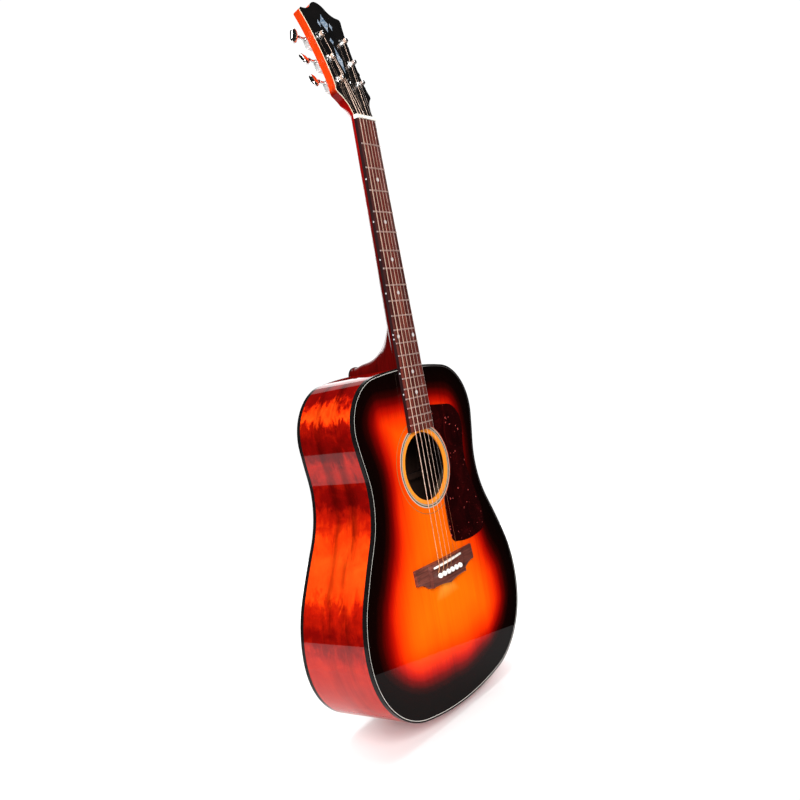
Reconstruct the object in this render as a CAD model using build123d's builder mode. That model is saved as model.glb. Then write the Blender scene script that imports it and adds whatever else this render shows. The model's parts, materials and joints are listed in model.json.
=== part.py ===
"""Steel-string acoustic guitar of dreadnought shape, as separate pieces.

Frame: the origin is the centre of the strap button's end face, +Z runs up along the neck, +X is the
treble side and the soundboard faces -Y. Most places are given on the FACE plane, whose x is the
treble side, whose y is the distance up the neck from the saddle line, and whose normal points out of
the soundboard. The neck and the headstock have planes of their own, NECK and HEAD.
"""
from build123d import *
import math
import os

os.makedirs("parts", exist_ok=True)

# ---------------------------------------------------------------- driving dimensions (mm)
SCALE = 651.0              # nut to saddle line
JOIN_FRET = 14             # the body meets the neck at this fret
FRETS = 20

TAIL = -216.7              # body end, measured from the saddle line
# Treble half of the body outline, from the tail to the neck: (radius, turn in degrees) of tangent
# arcs. A negative radius is hollow. The last arc closes on the centre line by itself.
BODY_ARCS = [(494, 11.85), (124, 71.4), (178, 30.8), (914, 4.5), (-142, 41.0), (956, 2.6),
             (73.5, 92.0)]

DEPTH = 121.0              # body depth on the centre line at the saddle line
TAPER = 0.062              # depth lost for each mm up the neck
ARCH_R = 4572.0            # radius of the arched back, side to side
TOP_T = 2.8
BACK_T = 2.8
SIDE_T = 2.4
BINDING_H = 6.0
PURFLING_W = 0.8
LINING_W = 5.6
LINING_H = 13.0

HOLE_Z = 140.9             # soundhole centre above the saddle line
HOLE_R = 50.7
RINGS = [(62.6, 56.6), (71.4, 70.0)]         # outer and inner radius of each inlaid ring
RING_T = 1.0

FB_T = 6.5                 # fretboard
FB_RADIUS = 305.0
NUT_WIDTH = 43.0
JOIN_WIDTH = 55.0
FB_END = 195.0             # tongue end above the saddle line
FRET_H = 1.1
FRET_W = 2.0
NECK_TILT = 0.4            # degrees, neck back from the soundboard
NECK_D_NUT, NECK_D_JOIN = 13.0, 15.5
NUT_T = 5.5

HEAD_TILT = 15.6           # degrees, headstock back from the soundboard
HEAD_START = 3.0           # headplate face at the nut, above the fretboard's underside
HEAD_T = 14.0
HEADPLATE_T = 2.0

BRIDGE_H = 9.0
BRIDGE_HALF = 75.8
WING_START = 44.0          # bridge wings: where they begin, and their ridge
RIDGE_Z, WING_H = -17.0, 5.6
WING_UP, WING_DOWN = 0.09, 0.15              # slopes from the ridge to the two long edges
SADDLE_Z0, SADDLE_SLANT = -3.4, 0.033
SADDLE_TOP = 13.0          # string centre above the soundboard at the saddle
PIN_Z = -17.7
PIN_PITCH = 10.8
PIN_HOLE_R = 2.85
PIN_HEAD_R = 3.9
NUT_PITCH = 7.3
STRING_D = [1.35, 1.07, 0.81, 0.61, 0.42, 0.32]     # bass to treble

POST_R = 3.0
POSTS = [(23.2, 55), (24.2, 90), (26.2, 127)]  # x and distance above the nut, treble side
GEAR_TEETH = 14
WORM_PITCH = 2.0
GEAR_R = GEAR_TEETH * WORM_PITCH / (2 * math.pi)
WORM_R = 2.2
AXIS_H = -HEAD_T - 4.6     # worm axis below the headplate face
RUN = 0.06                 # running clearance on a radius

BUTTON_LENGTH = 15.0       # strap button

# ---------------------------------------------------------------- the three planes
JOIN = SCALE * 2 ** (-JOIN_FRET / 12)
NUT_V = SCALE - JOIN
TONGUE = JOIN - FB_END
SADDLE_UP = BUTTON_LENGTH - TAIL
TOP_Y = -(DEPTH - TAPER * TAIL) / 2


def leaning(origin, degrees):
    """Plane that faces the player's audience and leans back by the angle given."""
    angle = math.radians(degrees)
    return Plane(origin=origin, x_dir=(1, 0, 0), z_dir=(0, -math.cos(angle), math.sin(angle)))


FACE = leaning((0, TOP_Y, SADDLE_UP), 0)
NECK = leaning(FACE.from_local_coords((0, JOIN, 0)), NECK_TILT)
HEAD = leaning(NECK.from_local_coords((0, NUT_V + NUT_T, HEAD_START)), HEAD_TILT)
NECK_SIDE = Plane(origin=NECK.origin, x_dir=NECK.y_dir, z_dir=(1, 0, 0))


def across(v):
    """Plane square to the neck; its y is the depth below the fretboard's underside."""
    return Plane(origin=NECK.from_local_coords((0, v, 0)), x_dir=(1, 0, 0), z_dir=NECK.y_dir)


def save(builder, name):
    builder.part.label = name
    export_step(builder.part, f"parts/{name}.step")


def sag(half_chord, radius):
    return radius - math.sqrt(radius ** 2 - half_chord ** 2)


# ---------------------------------------------------------------- body outline and back surface
def outline_arcs(inset):
    """Start, middle and end of each arc of the treble half, moved inward by the inset."""
    arcs = []
    x, y, heading = 0.0, TAIL + inset, 0.0
    for radius, degrees in BODY_ARCS + [(None, None)]:
        if radius is None:
            r = x / math.sin(heading)
            turn = math.pi - heading
        else:
            r = radius - inset
            turn = math.copysign(math.radians(degrees), radius)
        points = [(x, y)]
        for part in (0.5, 1.0):
            angle = heading + turn * part
            points.append((x + r * (math.sin(angle) - math.sin(heading)),
                           y + r * (math.cos(heading) - math.cos(angle))))
        arcs.append(points)
        x, y = points[2]
        heading += turn
    arcs[-1][2] = (0.0, arcs[-1][2][1])
    return arcs


def body_outline(inset=0.0):
    with BuildSketch(Plane.XY) as outline:
        with BuildLine():
            for start, middle, end in outline_arcs(inset):
                ThreePointArc(start, middle, end)
            mirror(about=Plane.YZ)
        make_face()
    return outline.sketch


def body_ring(outer, inner):
    return body_outline(outer) - body_outline(inner)


def before_back(inset):
    """Everything in front of the surface that lies the inset inside the back's outer face."""
    half, low = 215.0, TAIL - 20
    plane = Plane(origin=(0, TOP_Y + DEPTH - TAPER * low - inset, SADDLE_UP + low),
                  x_dir=(1, 0, 0), z_dir=(0, -TAPER, 1))
    drop = sag(half, ARCH_R)
    with BuildPart() as block:
        with BuildSketch(plane):
            with BuildLine():
                ThreePointArc((-half, -drop), (0, 0), (half, -drop))
                Polyline((half, -drop), (half, -300), (-half, -300), (-half, -drop))
            make_face()
        extrude(amount=560)
    return block.part


def back_shell(outer, inner):
    return before_back(outer) - before_back(inner)


def strut(start, end, width, height, toe=3.0, run=28.0):
    """Tapered brace glued under the soundboard, between two points of the FACE plane."""
    length = math.dist(start, end)
    along = ((end[0] - start[0]) / length, 0, (end[1] - start[1]) / length)
    origin = FACE.from_local_coords((start[0], start[1], -TOP_T))
    plane = Plane(origin=origin, x_dir=along, z_dir=(-along[2], 0, along[0]))
    with BuildPart() as bar:
        with BuildSketch(plane):
            with BuildLine():
                Polyline((0, 0), (length, 0), (length, toe), (length - run, height), (run, height),
                         (0, toe), close=True)
            make_face()
        extrude(amount=width / 2, both=True)
    return bar.part


# ---------------------------------------------------------------- strings: places along their run
def string_points(i):
    """Centre line of one string, from its ball end to the nut, and its post."""
    x_pin = (i - 2.5) * PIN_PITCH
    x_nut = (i - 2.5) * NUT_PITCH
    z_saddle = SADDLE_Z0 + SADDLE_SLANT * x_pin
    h_saddle = SADDLE_TOP - sag(abs(x_pin), FB_RADIUS) - (0.3 if i > 2 else 0)
    h_nut = FB_T + FRET_H + 0.35 + STRING_D[i] / 2 - sag(abs(x_nut), FB_RADIUS)
    ball = FACE.from_local_coords((x_pin, PIN_Z + 1.6, -7.0))
    hole = FACE.from_local_coords((x_pin, PIN_Z + 1.6, BRIDGE_H - 0.9))
    saddle = FACE.from_local_coords((x_pin * 0.985, z_saddle, h_saddle))
    nut = NECK.from_local_coords((x_nut, NUT_V + 0.6, h_nut))
    return ball, hole, saddle, nut


def post_place(i):
    """Post of string i on the HEAD plane: x, distance above the nut, and the side it stands on."""
    row = [0, 1, 2, 2, 1, 0][i]
    side = -1 if i < 3 else 1
    x, s = POSTS[row]
    return side * x, s, side


# ================================================================ body
hole_places = [((i - 2.5) * PIN_PITCH, PIN_Z) for i in range(6)]
plate_inset = SIDE_T + PURFLING_W
inner = SIDE_T + LINING_W
block_half, block_deep = 37.0, 46.0
tail_half, tail_deep = 31.0, 20.0
TENON_HALF, TENON_ROOT, TENON_DEEP, TENON_LONG = 13.0, 9.5, 14.0, 84.0
neck_end = JOIN - SIDE_T

soundboard_face = body_outline(plate_inset)
with BuildPart() as soundboard:
    with BuildSketch(FACE):
        add(soundboard_face)
        with Locations((0, HOLE_Z)):
            Circle(HOLE_R, mode=Mode.SUBTRACT)
        with Locations(*hole_places):
            Circle(PIN_HOLE_R, mode=Mode.SUBTRACT)
    extrude(amount=-TOP_T)
    for r_out, r_in in RINGS:
        with BuildSketch(FACE):
            with Locations((0, HOLE_Z)):
                Circle(r_out)
                Circle(r_in, mode=Mode.SUBTRACT)
        extrude(amount=-RING_T, mode=Mode.SUBTRACT)
save(soundboard, "soundboard")

with BuildPart() as rosette:
    for r_out, r_in in RINGS:
        with BuildSketch(FACE):
            with Locations((0, HOLE_Z)):
                Circle(r_out)
                Circle(r_in, mode=Mode.SUBTRACT)
        extrude(amount=-RING_T)
save(rosette, "rosette")

purfling_ring = body_ring(SIDE_T, plate_inset)
with BuildPart() as top_purfling:
    with BuildSketch(FACE):
        add(purfling_ring)
    extrude(amount=-TOP_T)
save(top_purfling, "top_purfling")

rim_ring = body_ring(0, SIDE_T)
with BuildPart() as top_binding:
    with BuildSketch(FACE):
        add(rim_ring)
    extrude(amount=-BINDING_H)
save(top_binding, "top_binding")

# The blocks at the two ends of the body, and the space each one fills
with BuildPart() as block_space:
    with BuildSketch(FACE.offset(-TOP_T)):
        with Locations((0, neck_end - block_deep / 2 + 5)):
            Rectangle(2 * block_half, block_deep + 10)
        with Locations((0, TAIL + (SIDE_T + tail_deep) / 2 - 5)):
            Rectangle(2 * tail_half, tail_deep + SIDE_T + 10)
    extrude(amount=-150)
with BuildPart() as tenon_space:
    with BuildSketch(FACE.offset(-BINDING_H - 0.1)):
        with BuildLine():
            Polyline((-TENON_ROOT, JOIN + 1), (TENON_ROOT, JOIN + 1),
                     (TENON_HALF, JOIN - TENON_DEEP), (-TENON_HALF, JOIN - TENON_DEEP), close=True)
        make_face()
    extrude(amount=-TENON_LONG)

inside_face = body_outline(SIDE_T)
with BuildPart() as neck_block:
    with BuildSketch(FACE.offset(-TOP_T)):
        add(inside_face)
        with Locations((0, neck_end + 5 - block_deep / 2)):
            Rectangle(2 * block_half, block_deep + 10, mode=Mode.INTERSECT)
    extrude(amount=-150)
    add(before_back(BACK_T), mode=Mode.INTERSECT)
    add(tenon_space.part, mode=Mode.SUBTRACT)
save(neck_block, "neck_block")

screw_hole = Plane(origin=(0, 0, BUTTON_LENGTH - 1), x_dir=(1, 0, 0), z_dir=(0, 0, 1))
with BuildPart() as tail_block:
    with BuildSketch(FACE.offset(-TOP_T)):
        add(inside_face)
        with Locations((0, TAIL - 5 + (tail_deep + SIDE_T) / 2)):
            Rectangle(2 * tail_half, tail_deep + SIDE_T + 10, mode=Mode.INTERSECT)
    extrude(amount=-150)
    add(before_back(BACK_T), mode=Mode.INTERSECT)
    with BuildSketch(screw_hole):
        Circle(1.8)
    extrude(amount=21, mode=Mode.SUBTRACT)
save(tail_block, "tail_block")

lining_ring = body_ring(SIDE_T, inner)
with BuildPart() as top_lining:
    with BuildSketch(FACE.offset(-TOP_T)):
        add(lining_ring)
    extrude(amount=-LINING_H)
    add(block_space.part, mode=Mode.SUBTRACT)
save(top_lining, "top_lining")

with BuildPart() as back_lining:
    with BuildSketch(FACE.offset(-60)):
        add(lining_ring)
    extrude(amount=-90)
    add(back_shell(BACK_T, BACK_T + LINING_H), mode=Mode.INTERSECT)
    add(block_space.part, mode=Mode.SUBTRACT)
save(back_lining, "back_lining")

for name, side in (("side_bass", -1), ("side_treble", 1)):
    with BuildPart() as rim:
        with BuildSketch(FACE.offset(-BINDING_H)):
            add(rim_ring)
            with Locations((side * 150, 0)):
                Rectangle(300, 700, mode=Mode.INTERSECT)
            with Locations((0, JOIN)):
                Rectangle(2 * TENON_ROOT + 2, 20, mode=Mode.SUBTRACT)
        extrude(amount=-150)
        add(before_back(BINDING_H), mode=Mode.INTERSECT)
        with BuildSketch(screw_hole):
            Circle(2.6)
        extrude(amount=6, mode=Mode.SUBTRACT)
    save(rim, name)

with BuildPart() as back:
    with BuildSketch(FACE.offset(-60)):
        add(inside_face)
    extrude(amount=-90)
    add(back_shell(0, BACK_T), mode=Mode.INTERSECT)
save(back, "back")

with BuildPart() as back_binding:
    with BuildSketch(FACE.offset(-60)):
        add(rim_ring)
    extrude(amount=-90)
    add(back_shell(0, BINDING_H), mode=Mode.INTERSECT)
save(back_binding, "back_binding")

# ---------------------------------------------------------------- bracing
X_CENTRE, X_ANGLE = 62.0, math.radians(49)
across_x, up_x = math.sin(X_ANGLE), math.cos(X_ANGLE)
with BuildPart() as x_brace:
    for side in (-1, 1):
        foot = (-side * 236 * across_x, X_CENTRE - 236 * up_x)
        head = (side * 166 * across_x, X_CENTRE + 166 * up_x)
        add(strut(foot, head, 8, 14))
save(x_brace, "x_brace")

with BuildPart() as top_braces:
    add(strut((-131, 224), (131, 224), 12, 13))
    for side in (-1, 1):
        add(strut((side * 62, 168), (side * 62, 206), 6, 6, 2, 8))
        add(strut((side * 70, 44), (side * 126, 80), 6, 7, 2, 14))
        add(strut((side * 110, -21), (side * 168, 10), 6, 7, 2, 14))
    add(strut((-95, -62), (60, -128), 7, 9, 2, 24))
    add(strut((-50, -118), (60, -172), 7, 9, 2, 24))
save(top_braces, "top_braces")

with BuildPart() as bridge_plate:
    with BuildSketch(FACE.offset(-TOP_T)):
        with Locations((0, -22)):
            Rectangle(96, 40)
        with Locations(*hole_places):
            Circle(PIN_HOLE_R, mode=Mode.SUBTRACT)
    extrude(amount=-2.5)
save(bridge_plate, "bridge_plate")

BACK_BARS = [(205, 9), (112, 9), (-10, 20), (-128, 20)]
brace_room = body_outline(inner + 0.2)
with BuildPart() as back_braces:
    with BuildSketch(FACE.offset(-60)):
        for z, width in BACK_BARS:
            with Locations((0, z)):
                Rectangle(420, width)
        add(brace_room, mode=Mode.INTERSECT)
    extrude(amount=-90)
    add(back_shell(BACK_T, BACK_T + 15), mode=Mode.INTERSECT)
save(back_braces, "back_braces")

with BuildPart() as back_centre_strip:
    with BuildSketch(FACE.offset(-60)):
        with Locations((0, (neck_end - block_deep + TAIL + SIDE_T + tail_deep) / 2)):
            Rectangle(16, neck_end - block_deep - TAIL - SIDE_T - tail_deep - 1)
        for z, width in BACK_BARS:
            with Locations((0, z)):
                Rectangle(30, width + 0.4, mode=Mode.SUBTRACT)
    extrude(amount=-90)
    add(back_shell(BACK_T, BACK_T + 2.4), mode=Mode.INTERSECT)
save(back_centre_strip, "back_centre_strip")

# ---------------------------------------------------------------- pickguard
GUARD_T = 1.0
GUARD_GAP = RINGS[0][0] + 0.6       # the guard hugs the rosette's main ring
GUARD_NEAR = 29.6                # edge beside the fretboard
ring_top = (GUARD_NEAR, HOLE_Z + math.sqrt(GUARD_GAP ** 2 - GUARD_NEAR ** 2))
ring_side = (GUARD_GAP, HOLE_Z)
ring_low = (GUARD_GAP * math.cos(math.radians(58)), HOLE_Z - GUARD_GAP * math.sin(math.radians(58)))
with BuildPart() as pickguard:
    with BuildSketch(FACE):
        with BuildLine():
            ThreePointArc(ring_top, ring_side, ring_low)
            Spline(ring_low, (30.6, 62), (33.5, 27), tangents=[(-0.35, -1), (0.35, -1)])
            ThreePointArc((33.5, 27), (37.5, 17.5), (47, 14.2))
            ThreePointArc((47, 14.2), (81, 9.8), (115, 13))
            ThreePointArc((115, 13), (127, 20), (130.5, 33))
            Spline((130.5, 33), (120.5, 78), (106.5, 128), (111, 172), tangents=[(0, 1), (0.25, 1)])
            ThreePointArc((111, 172), (107, 208), (84, 223))
            Line((84, 223), (29.2, 228.5))
            Line((29.2, 228.5), ring_top)
        make_face()
    extrude(amount=GUARD_T)
save(pickguard, "pickguard")

# ---------------------------------------------------------------- bridge, saddle and pins
saddle_tilt = math.degrees(math.atan(SADDLE_SLANT))
with BuildPart() as bridge:
    with BuildSketch(FACE):
        with BuildLine():
            Line((0, 1.5), (BRIDGE_HALF, 2.5))
            Line((BRIDGE_HALF, 2.5), (BRIDGE_HALF - 0.8, -20.5))
            Spline((BRIDGE_HALF - 0.8, -20.5), (61.5, -22.6), (50, -29.5),
                   tangents=[(-1, 0.08), (-1, -0.8)])
            ThreePointArc((50, -29.5), (46, -31.8), (41, -31.4))
            ThreePointArc((41, -31.4), (22, -32), (0, -36.2))
            mirror(about=Plane.YZ)
        make_face()
    extrude(amount=BRIDGE_H)
    # Wings: thinner than the middle, with a ridge along them and a slope down to each long edge
    for side in (-1, 1):
        wing_end = Plane(origin=FACE.from_local_coords((side * WING_START, 0, 0)),
                         x_dir=(0, 0, 1), z_dir=(side, 0, 0))
        with BuildSketch(wing_end):
            with BuildLine():
                Polyline((10, side * (WING_H - WING_UP * (10 - RIDGE_Z))), (RIDGE_Z, side * WING_H),
                         (-40, side * (WING_H - WING_DOWN * (RIDGE_Z + 40))), (-40, side * 20),
                         (10, side * 20), close=True)
            make_face()
        extrude(amount=50, mode=Mode.SUBTRACT)
    with BuildSketch(FACE.offset(BRIDGE_H - 5)):
        with Locations(Location((0, SADDLE_Z0, 0), (0, 0, saddle_tilt))):
            Rectangle(74.2, 3.1)
    extrude(amount=10, mode=Mode.SUBTRACT)
    with BuildSketch(FACE):
        with Locations(*hole_places):
            Circle(PIN_HOLE_R)
    extrude(amount=20, mode=Mode.SUBTRACT)
    for i in range(6):
        with BuildSketch(FACE.offset(BRIDGE_H - 3)):
            with Locations((hole_places[i][0], PIN_Z + 4.0)):
                Rectangle(STRING_D[i] + 0.8, 7.4)
        extrude(amount=5, mode=Mode.SUBTRACT)
save(bridge, "bridge")

with BuildPart() as saddle:
    with BuildSketch(FACE.offset(BRIDGE_H - 4.9)):
        with Locations(Location((0, SADDLE_Z0, 0), (0, 0, saddle_tilt))):
            RectangleRounded(74, 2.9, 1.2)
    extrude(amount=12)
    crown = Plane(origin=FACE.from_local_coords((0, SADDLE_Z0 - 20, 0)), x_dir=(1, 0, 0),
                  z_dir=(0, 0, 1))
    top_c = SADDLE_TOP - STRING_D[0] / 2 - 0.45
    with BuildSketch(crown):
        with BuildLine():
            edge = top_c - sag(40, FB_RADIUS)
            ThreePointArc((-40, -edge), (0, -top_c), (40, -edge))
            Polyline((40, -edge), (40, 0), (-40, 0), (-40, -edge))
        make_face()
    extrude(amount=40, mode=Mode.INTERSECT)
save(saddle, "saddle")

dome = BRIDGE_H + 2.2      # height of the centre of a pin's rounded head
for i in range(6):
    pin_plane = Plane(origin=FACE.from_local_coords((hole_places[i][0], PIN_Z, 0)), x_dir=(1, 0, 0),
                      z_dir=(0, 0, 1))
    with BuildPart() as bridge_pin:
        with BuildSketch(pin_plane):
            with BuildLine():
                Polyline((0, 13), (2.3, 13), (2.65, 4), (2.65, -BRIDGE_H - 0.6),
                         (PIN_HEAD_R, -BRIDGE_H - 1.1), (PIN_HEAD_R, -dome))
                CenterArc((0, -dome), PIN_HEAD_R, 0, -90)
                Line((0, -dome - PIN_HEAD_R), (0, 13))
            make_face()
        revolve(axis=Axis(pin_plane.origin, (0, 1, 0)))
        with BuildSketch(FACE.offset(-14)):
            with Locations((hole_places[i][0], PIN_Z + 0.55 + 3)):
                Rectangle(STRING_D[i] + 0.7, 6)
        extrude(amount=14 + BRIDGE_H + 0.2, mode=Mode.SUBTRACT)
        with BuildSketch(FACE.offset(-14)):
            with Locations((hole_places[i][0], PIN_Z + 3.15)):
                Rectangle(8, 6)
        extrude(amount=14 - TOP_T - 2.5, mode=Mode.SUBTRACT)
    save(bridge_pin, f"bridge_pin_{6 - i}")

# ================================================================ neck
def head_across(s):
    """The plane across the headstock at a distance above the nut, with +y to its back."""
    return Plane(origin=HEAD.from_local_coords((0, s, 0)), x_dir=(1, 0, 0), z_dir=HEAD.y_dir)


def board_half(v):
    """Half the fretboard's width at a place along the neck."""
    return NUT_WIDTH / 2 + (JOIN_WIDTH - NUT_WIDTH) / 2 * (NUT_V - v) / NUT_V


def half_oval(plane, half_width, reach):
    """The half of an ellipse on the side of the plane's +y."""
    with BuildSketch(plane) as oval:
        Ellipse(half_width, reach)
        with Locations((0, -100)):
            Rectangle(200, 200, mode=Mode.SUBTRACT)
    return oval.sketch


def head_outline():
    with BuildSketch(Plane.XY) as outline:
        with BuildLine():
            Polyline((0, 0), (21.7, 0), (22.2, 8))
            ThreePointArc((22.2, 8), (26.9, 22.5), (36.3, 34))
            ThreePointArc((36.3, 34), (38.4, 38.2), (37.2, 43))
            Spline((37.2, 43), (34.3, 66), (36.9, 121), (44.6, 165.5), tangents=[(-0.3, 1), (0.28, 1)])
            ThreePointArc((44.6, 165.5), (44.4, 170.1), (40.3, 172.2))
            ThreePointArc((40.3, 172.2), (28, 174.1), (17, 181.5))
            ThreePointArc((17, 181.5), (9.5, 188.3), (0, 191))
            mirror(about=Plane.YZ)
        make_face()
    return outline.sketch


# Heel sections: depth below the soundboard plane, half width, and reach up the neck
HEEL = [(0.5, 27.0, 96), (9, 26.2, 84), (18, 25.0, 66), (26, 23.6, 49), (36, 22.0, 36), (50, 19.8, 25),
        (68, 17.8, 18), (86, 16.6, 15), (100, 16.2, 14)]
HEEL_END = HEEL[-1][0]
CAP_T = 2.0
COVER_T = 1.8
ROD_W, ROD_R, ROD_NUT_R = -5.4, 2.4, 4.0
ROD_LOW, ROD_HIGH = 14.0, NUT_V + NUT_T + 15.5
POCKET_LOW, POCKET_HIGH, POCKET_HALF = 8.0, 34.0, 6.0
COVER_SCREWS = [(54, 9.0), (5, 5.2)]         # distance above the nut and length

head_face = head_outline()
whole_body = body_outline(-0.05)
post_holes = [post_place(i)[:2] for i in range(6)]
screw_places = [(post_place(i)[0], post_place(i)[1] - 11.5) for i in range(6)]
heel_faces = [half_oval(NECK.offset(-depth), half, reach) for depth, half, reach in HEEL]
SHAFT = [(0, NECK_D_JOIN + 0.6), (NUT_V - 40, NECK_D_NUT), (NUT_V + 22, NECK_D_NUT)]
shaft_faces = [half_oval(across(v), board_half(v), depth) for v, depth in SHAFT]
# Half ovals that bound the headstock's lower end: distance above the nut, half width, depth
CARVED = [(-1, 22.8, 15.9), (12, 26.5, 18.0), (28, 50.0, 24.0)]
carved_faces = [half_oval(head_across(s), half, depth) for s, half, depth in CARVED]

with BuildPart() as nut_space:
    with BuildSketch(NECK):
        with Locations((0, NUT_V + NUT_T / 2)):
            Rectangle(60, NUT_T)
    extrude(amount=12)

# What is carved off the headstock's lower end, so that its sides thin down to the neck's own oval
with BuildPart() as carved_off:
    with BuildSketch(head_across(CARVED[0][0])):
        Rectangle(120, 60)
    extrude(amount=CARVED[-1][0] - CARVED[0][0])
    loft(sections=carved_faces, mode=Mode.SUBTRACT)

with BuildPart() as head_blank:
    with BuildSketch(HEAD.offset(-HEADPLATE_T)):
        add(head_face)
    extrude(amount=-(HEAD_T - HEADPLATE_T))
    with BuildPart(mode=Mode.PRIVATE) as below_face:
        add(carved_off.part)
        with BuildSketch(HEAD):
            Rectangle(200, 200)
        extrude(amount=60, mode=Mode.SUBTRACT)
    add(below_face.part, mode=Mode.SUBTRACT)

with BuildPart() as neck:
    loft(sections=heel_faces)
    loft(sections=shaft_faces[:2], ruled=True)
    loft(sections=shaft_faces[1:], ruled=True)
    with BuildSketch(HEAD):
        with Locations((0, 100)):
            Rectangle(120, 200)
    extrude(amount=60, mode=Mode.SUBTRACT)
    add(head_blank.part)
    with BuildSketch(HEAD.offset(-HEADPLATE_T)):
        with Locations((0, 100)):
            Rectangle(120, 200)
    extrude(amount=60, mode=Mode.SUBTRACT)
    with BuildSketch(FACE.offset(1)):
        add(whole_body)
    extrude(amount=-150, mode=Mode.SUBTRACT)
    with BuildSketch(FACE.offset(-BINDING_H - 0.2)):
        with BuildLine():
            Polyline((-TENON_ROOT + 0.1, JOIN + 1), (TENON_ROOT - 0.1, JOIN + 1),
                     (TENON_HALF - 0.1, JOIN - TENON_DEEP + 0.1),
                     (-TENON_HALF + 0.1, JOIN - TENON_DEEP + 0.1), close=True)
        make_face()
    extrude(amount=-TENON_LONG + 0.2)
    # Post holes, screw holes, truss rod channel and the pocket over its nut
    with BuildSketch(HEAD):
        with Locations(*post_holes):
            Circle(4.95)
    extrude(amount=-40, mode=Mode.SUBTRACT)
    with BuildSketch(HEAD.offset(-HEAD_T)):
        with Locations(*screw_places):
            Circle(1.15)
    extrude(amount=8, mode=Mode.SUBTRACT)
    with BuildSketch(HEAD):
        with Locations((0, (POCKET_LOW + POCKET_HIGH) / 2)):
            Rectangle(2 * POCKET_HALF, POCKET_HIGH - POCKET_LOW)
    extrude(amount=-12, mode=Mode.SUBTRACT)
    for s, length in COVER_SCREWS:
        with BuildSketch(HEAD):
            with Locations((0, s)):
                Circle(1.15)
        extrude(amount=COVER_T - length - 0.2, mode=Mode.SUBTRACT)
    with BuildSketch(NECK):
        with Locations((0, (ROD_LOW - 1 + NUT_V) / 2)):
            Rectangle(2 * ROD_R + 0.4, NUT_V - ROD_LOW + 1)
    extrude(amount=ROD_W - ROD_R - 0.2, mode=Mode.SUBTRACT)
    with BuildSketch(across(NUT_V - 1)):
        with Locations((0, -ROD_W)):
            Circle(ROD_R + 0.2)
    extrude(amount=ROD_HIGH - NUT_V + 1, mode=Mode.SUBTRACT)
    add(nut_space.part, mode=Mode.SUBTRACT)
save(neck, "neck")

with BuildPart() as heel_cap:
    with BuildSketch(NECK.offset(-HEEL_END - 0.05)):
        Ellipse(HEEL[-1][1] + 0.5, HEEL[-1][2] + 0.5)
        with Locations((0, -100)):
            Rectangle(200, 200, mode=Mode.SUBTRACT)
    extrude(amount=-CAP_T)
    with BuildSketch(FACE.offset(1)):
        add(whole_body)
    extrude(amount=-150, mode=Mode.SUBTRACT)
save(heel_cap, "heel_cap")

with BuildPart() as fretboard:
    with BuildSketch(across(-TONGUE)):
        with BuildLine():
            edge = FB_T - sag(32, FB_RADIUS)
            ThreePointArc((-32, -edge), (0, -FB_T), (32, -edge))
            Polyline((32, -edge), (32, 4), (-32, 4), (-32, -edge))
        make_face()
    extrude(amount=TONGUE + NUT_V - 0.05)
    with BuildSketch(NECK.offset(-6)):
        with BuildLine():
            low, high = board_half(-TONGUE), board_half(NUT_V)
            Polyline((-low, -TONGUE), (low, -TONGUE), (high, NUT_V), (-high, NUT_V), close=True)
        make_face()
    extrude(amount=20, mode=Mode.INTERSECT)
    with BuildSketch(NECK_SIDE):
        with BuildLine():
            dip = -TONGUE * math.tan(math.radians(NECK_TILT))
            Polyline((-TONGUE, dip + 0.03), (0, 0.03), (NUT_V, 0.03), (NUT_V, 12), (-TONGUE, 12),
                     close=True)
        make_face()
    extrude(amount=40, both=True, mode=Mode.INTERSECT)


def fret_v(n):
    return NUT_V - SCALE * (1 - 2 ** (-n / 12))


MARKERS = [(n, 0) for n in (3, 5, 7, 9, 15, 17)] + [(12, -18.5), (12, 18.5)]   # fret and x
SIDE_DOTS = [(n, 0) for n in (3, 5, 7, 9, 15, 17)] + [(12, -3.2), (12, 3.2)]   # fret and shift up
SIDE_DOT_R = 1.1
with BuildPart() as fret_markers:
    for n, x in MARKERS:
        with BuildSketch(NECK.offset(FB_T - 1.6)):
            with Locations((x, (fret_v(n) + fret_v(n - 1)) / 2)):
                Circle(3.0)
        extrude(amount=4)
    for n, shift in SIDE_DOTS:
        v = (fret_v(n) + fret_v(n - 1)) / 2 + shift
        with BuildSketch(NECK_SIDE.offset(-board_half(v) - 1)):
            with Locations((v, FB_T / 2)):
                Circle(SIDE_DOT_R)
        extrude(amount=2.6)
    add(fretboard.part, mode=Mode.INTERSECT)
save(fret_markers, "fret_markers")

with fretboard:
    add(fret_markers.part, mode=Mode.SUBTRACT)
save(fretboard, "fretboard")

with BuildPart() as frets:
    for n in range(1, FRETS + 1):
        half = board_half(fret_v(n)) - 0.5
        low, high = FB_T + 0.02, FB_T + FRET_H
        fall = sag(half, FB_RADIUS)
        with BuildPart(mode=Mode.PRIVATE) as wire:
            with BuildSketch(across(fret_v(n))):
                with BuildLine():
                    ThreePointArc((-half, fall - low), (0, -low), (half, fall - low))
                    ThreePointArc((-half, fall - high), (0, -high), (half, fall - high))
                    Line((-half, fall - low), (-half, fall - high))
                    Line((half, fall - low), (half, fall - high))
                make_face()
            extrude(amount=FRET_W / 2, both=True)
            crown_edges = wire.edges().filter_by(GeomType.CIRCLE).sort_by(Axis.Y)[:2]
            fillet(crown_edges, 0.7)
        add(wire.part)
save(frets, "frets")

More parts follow.
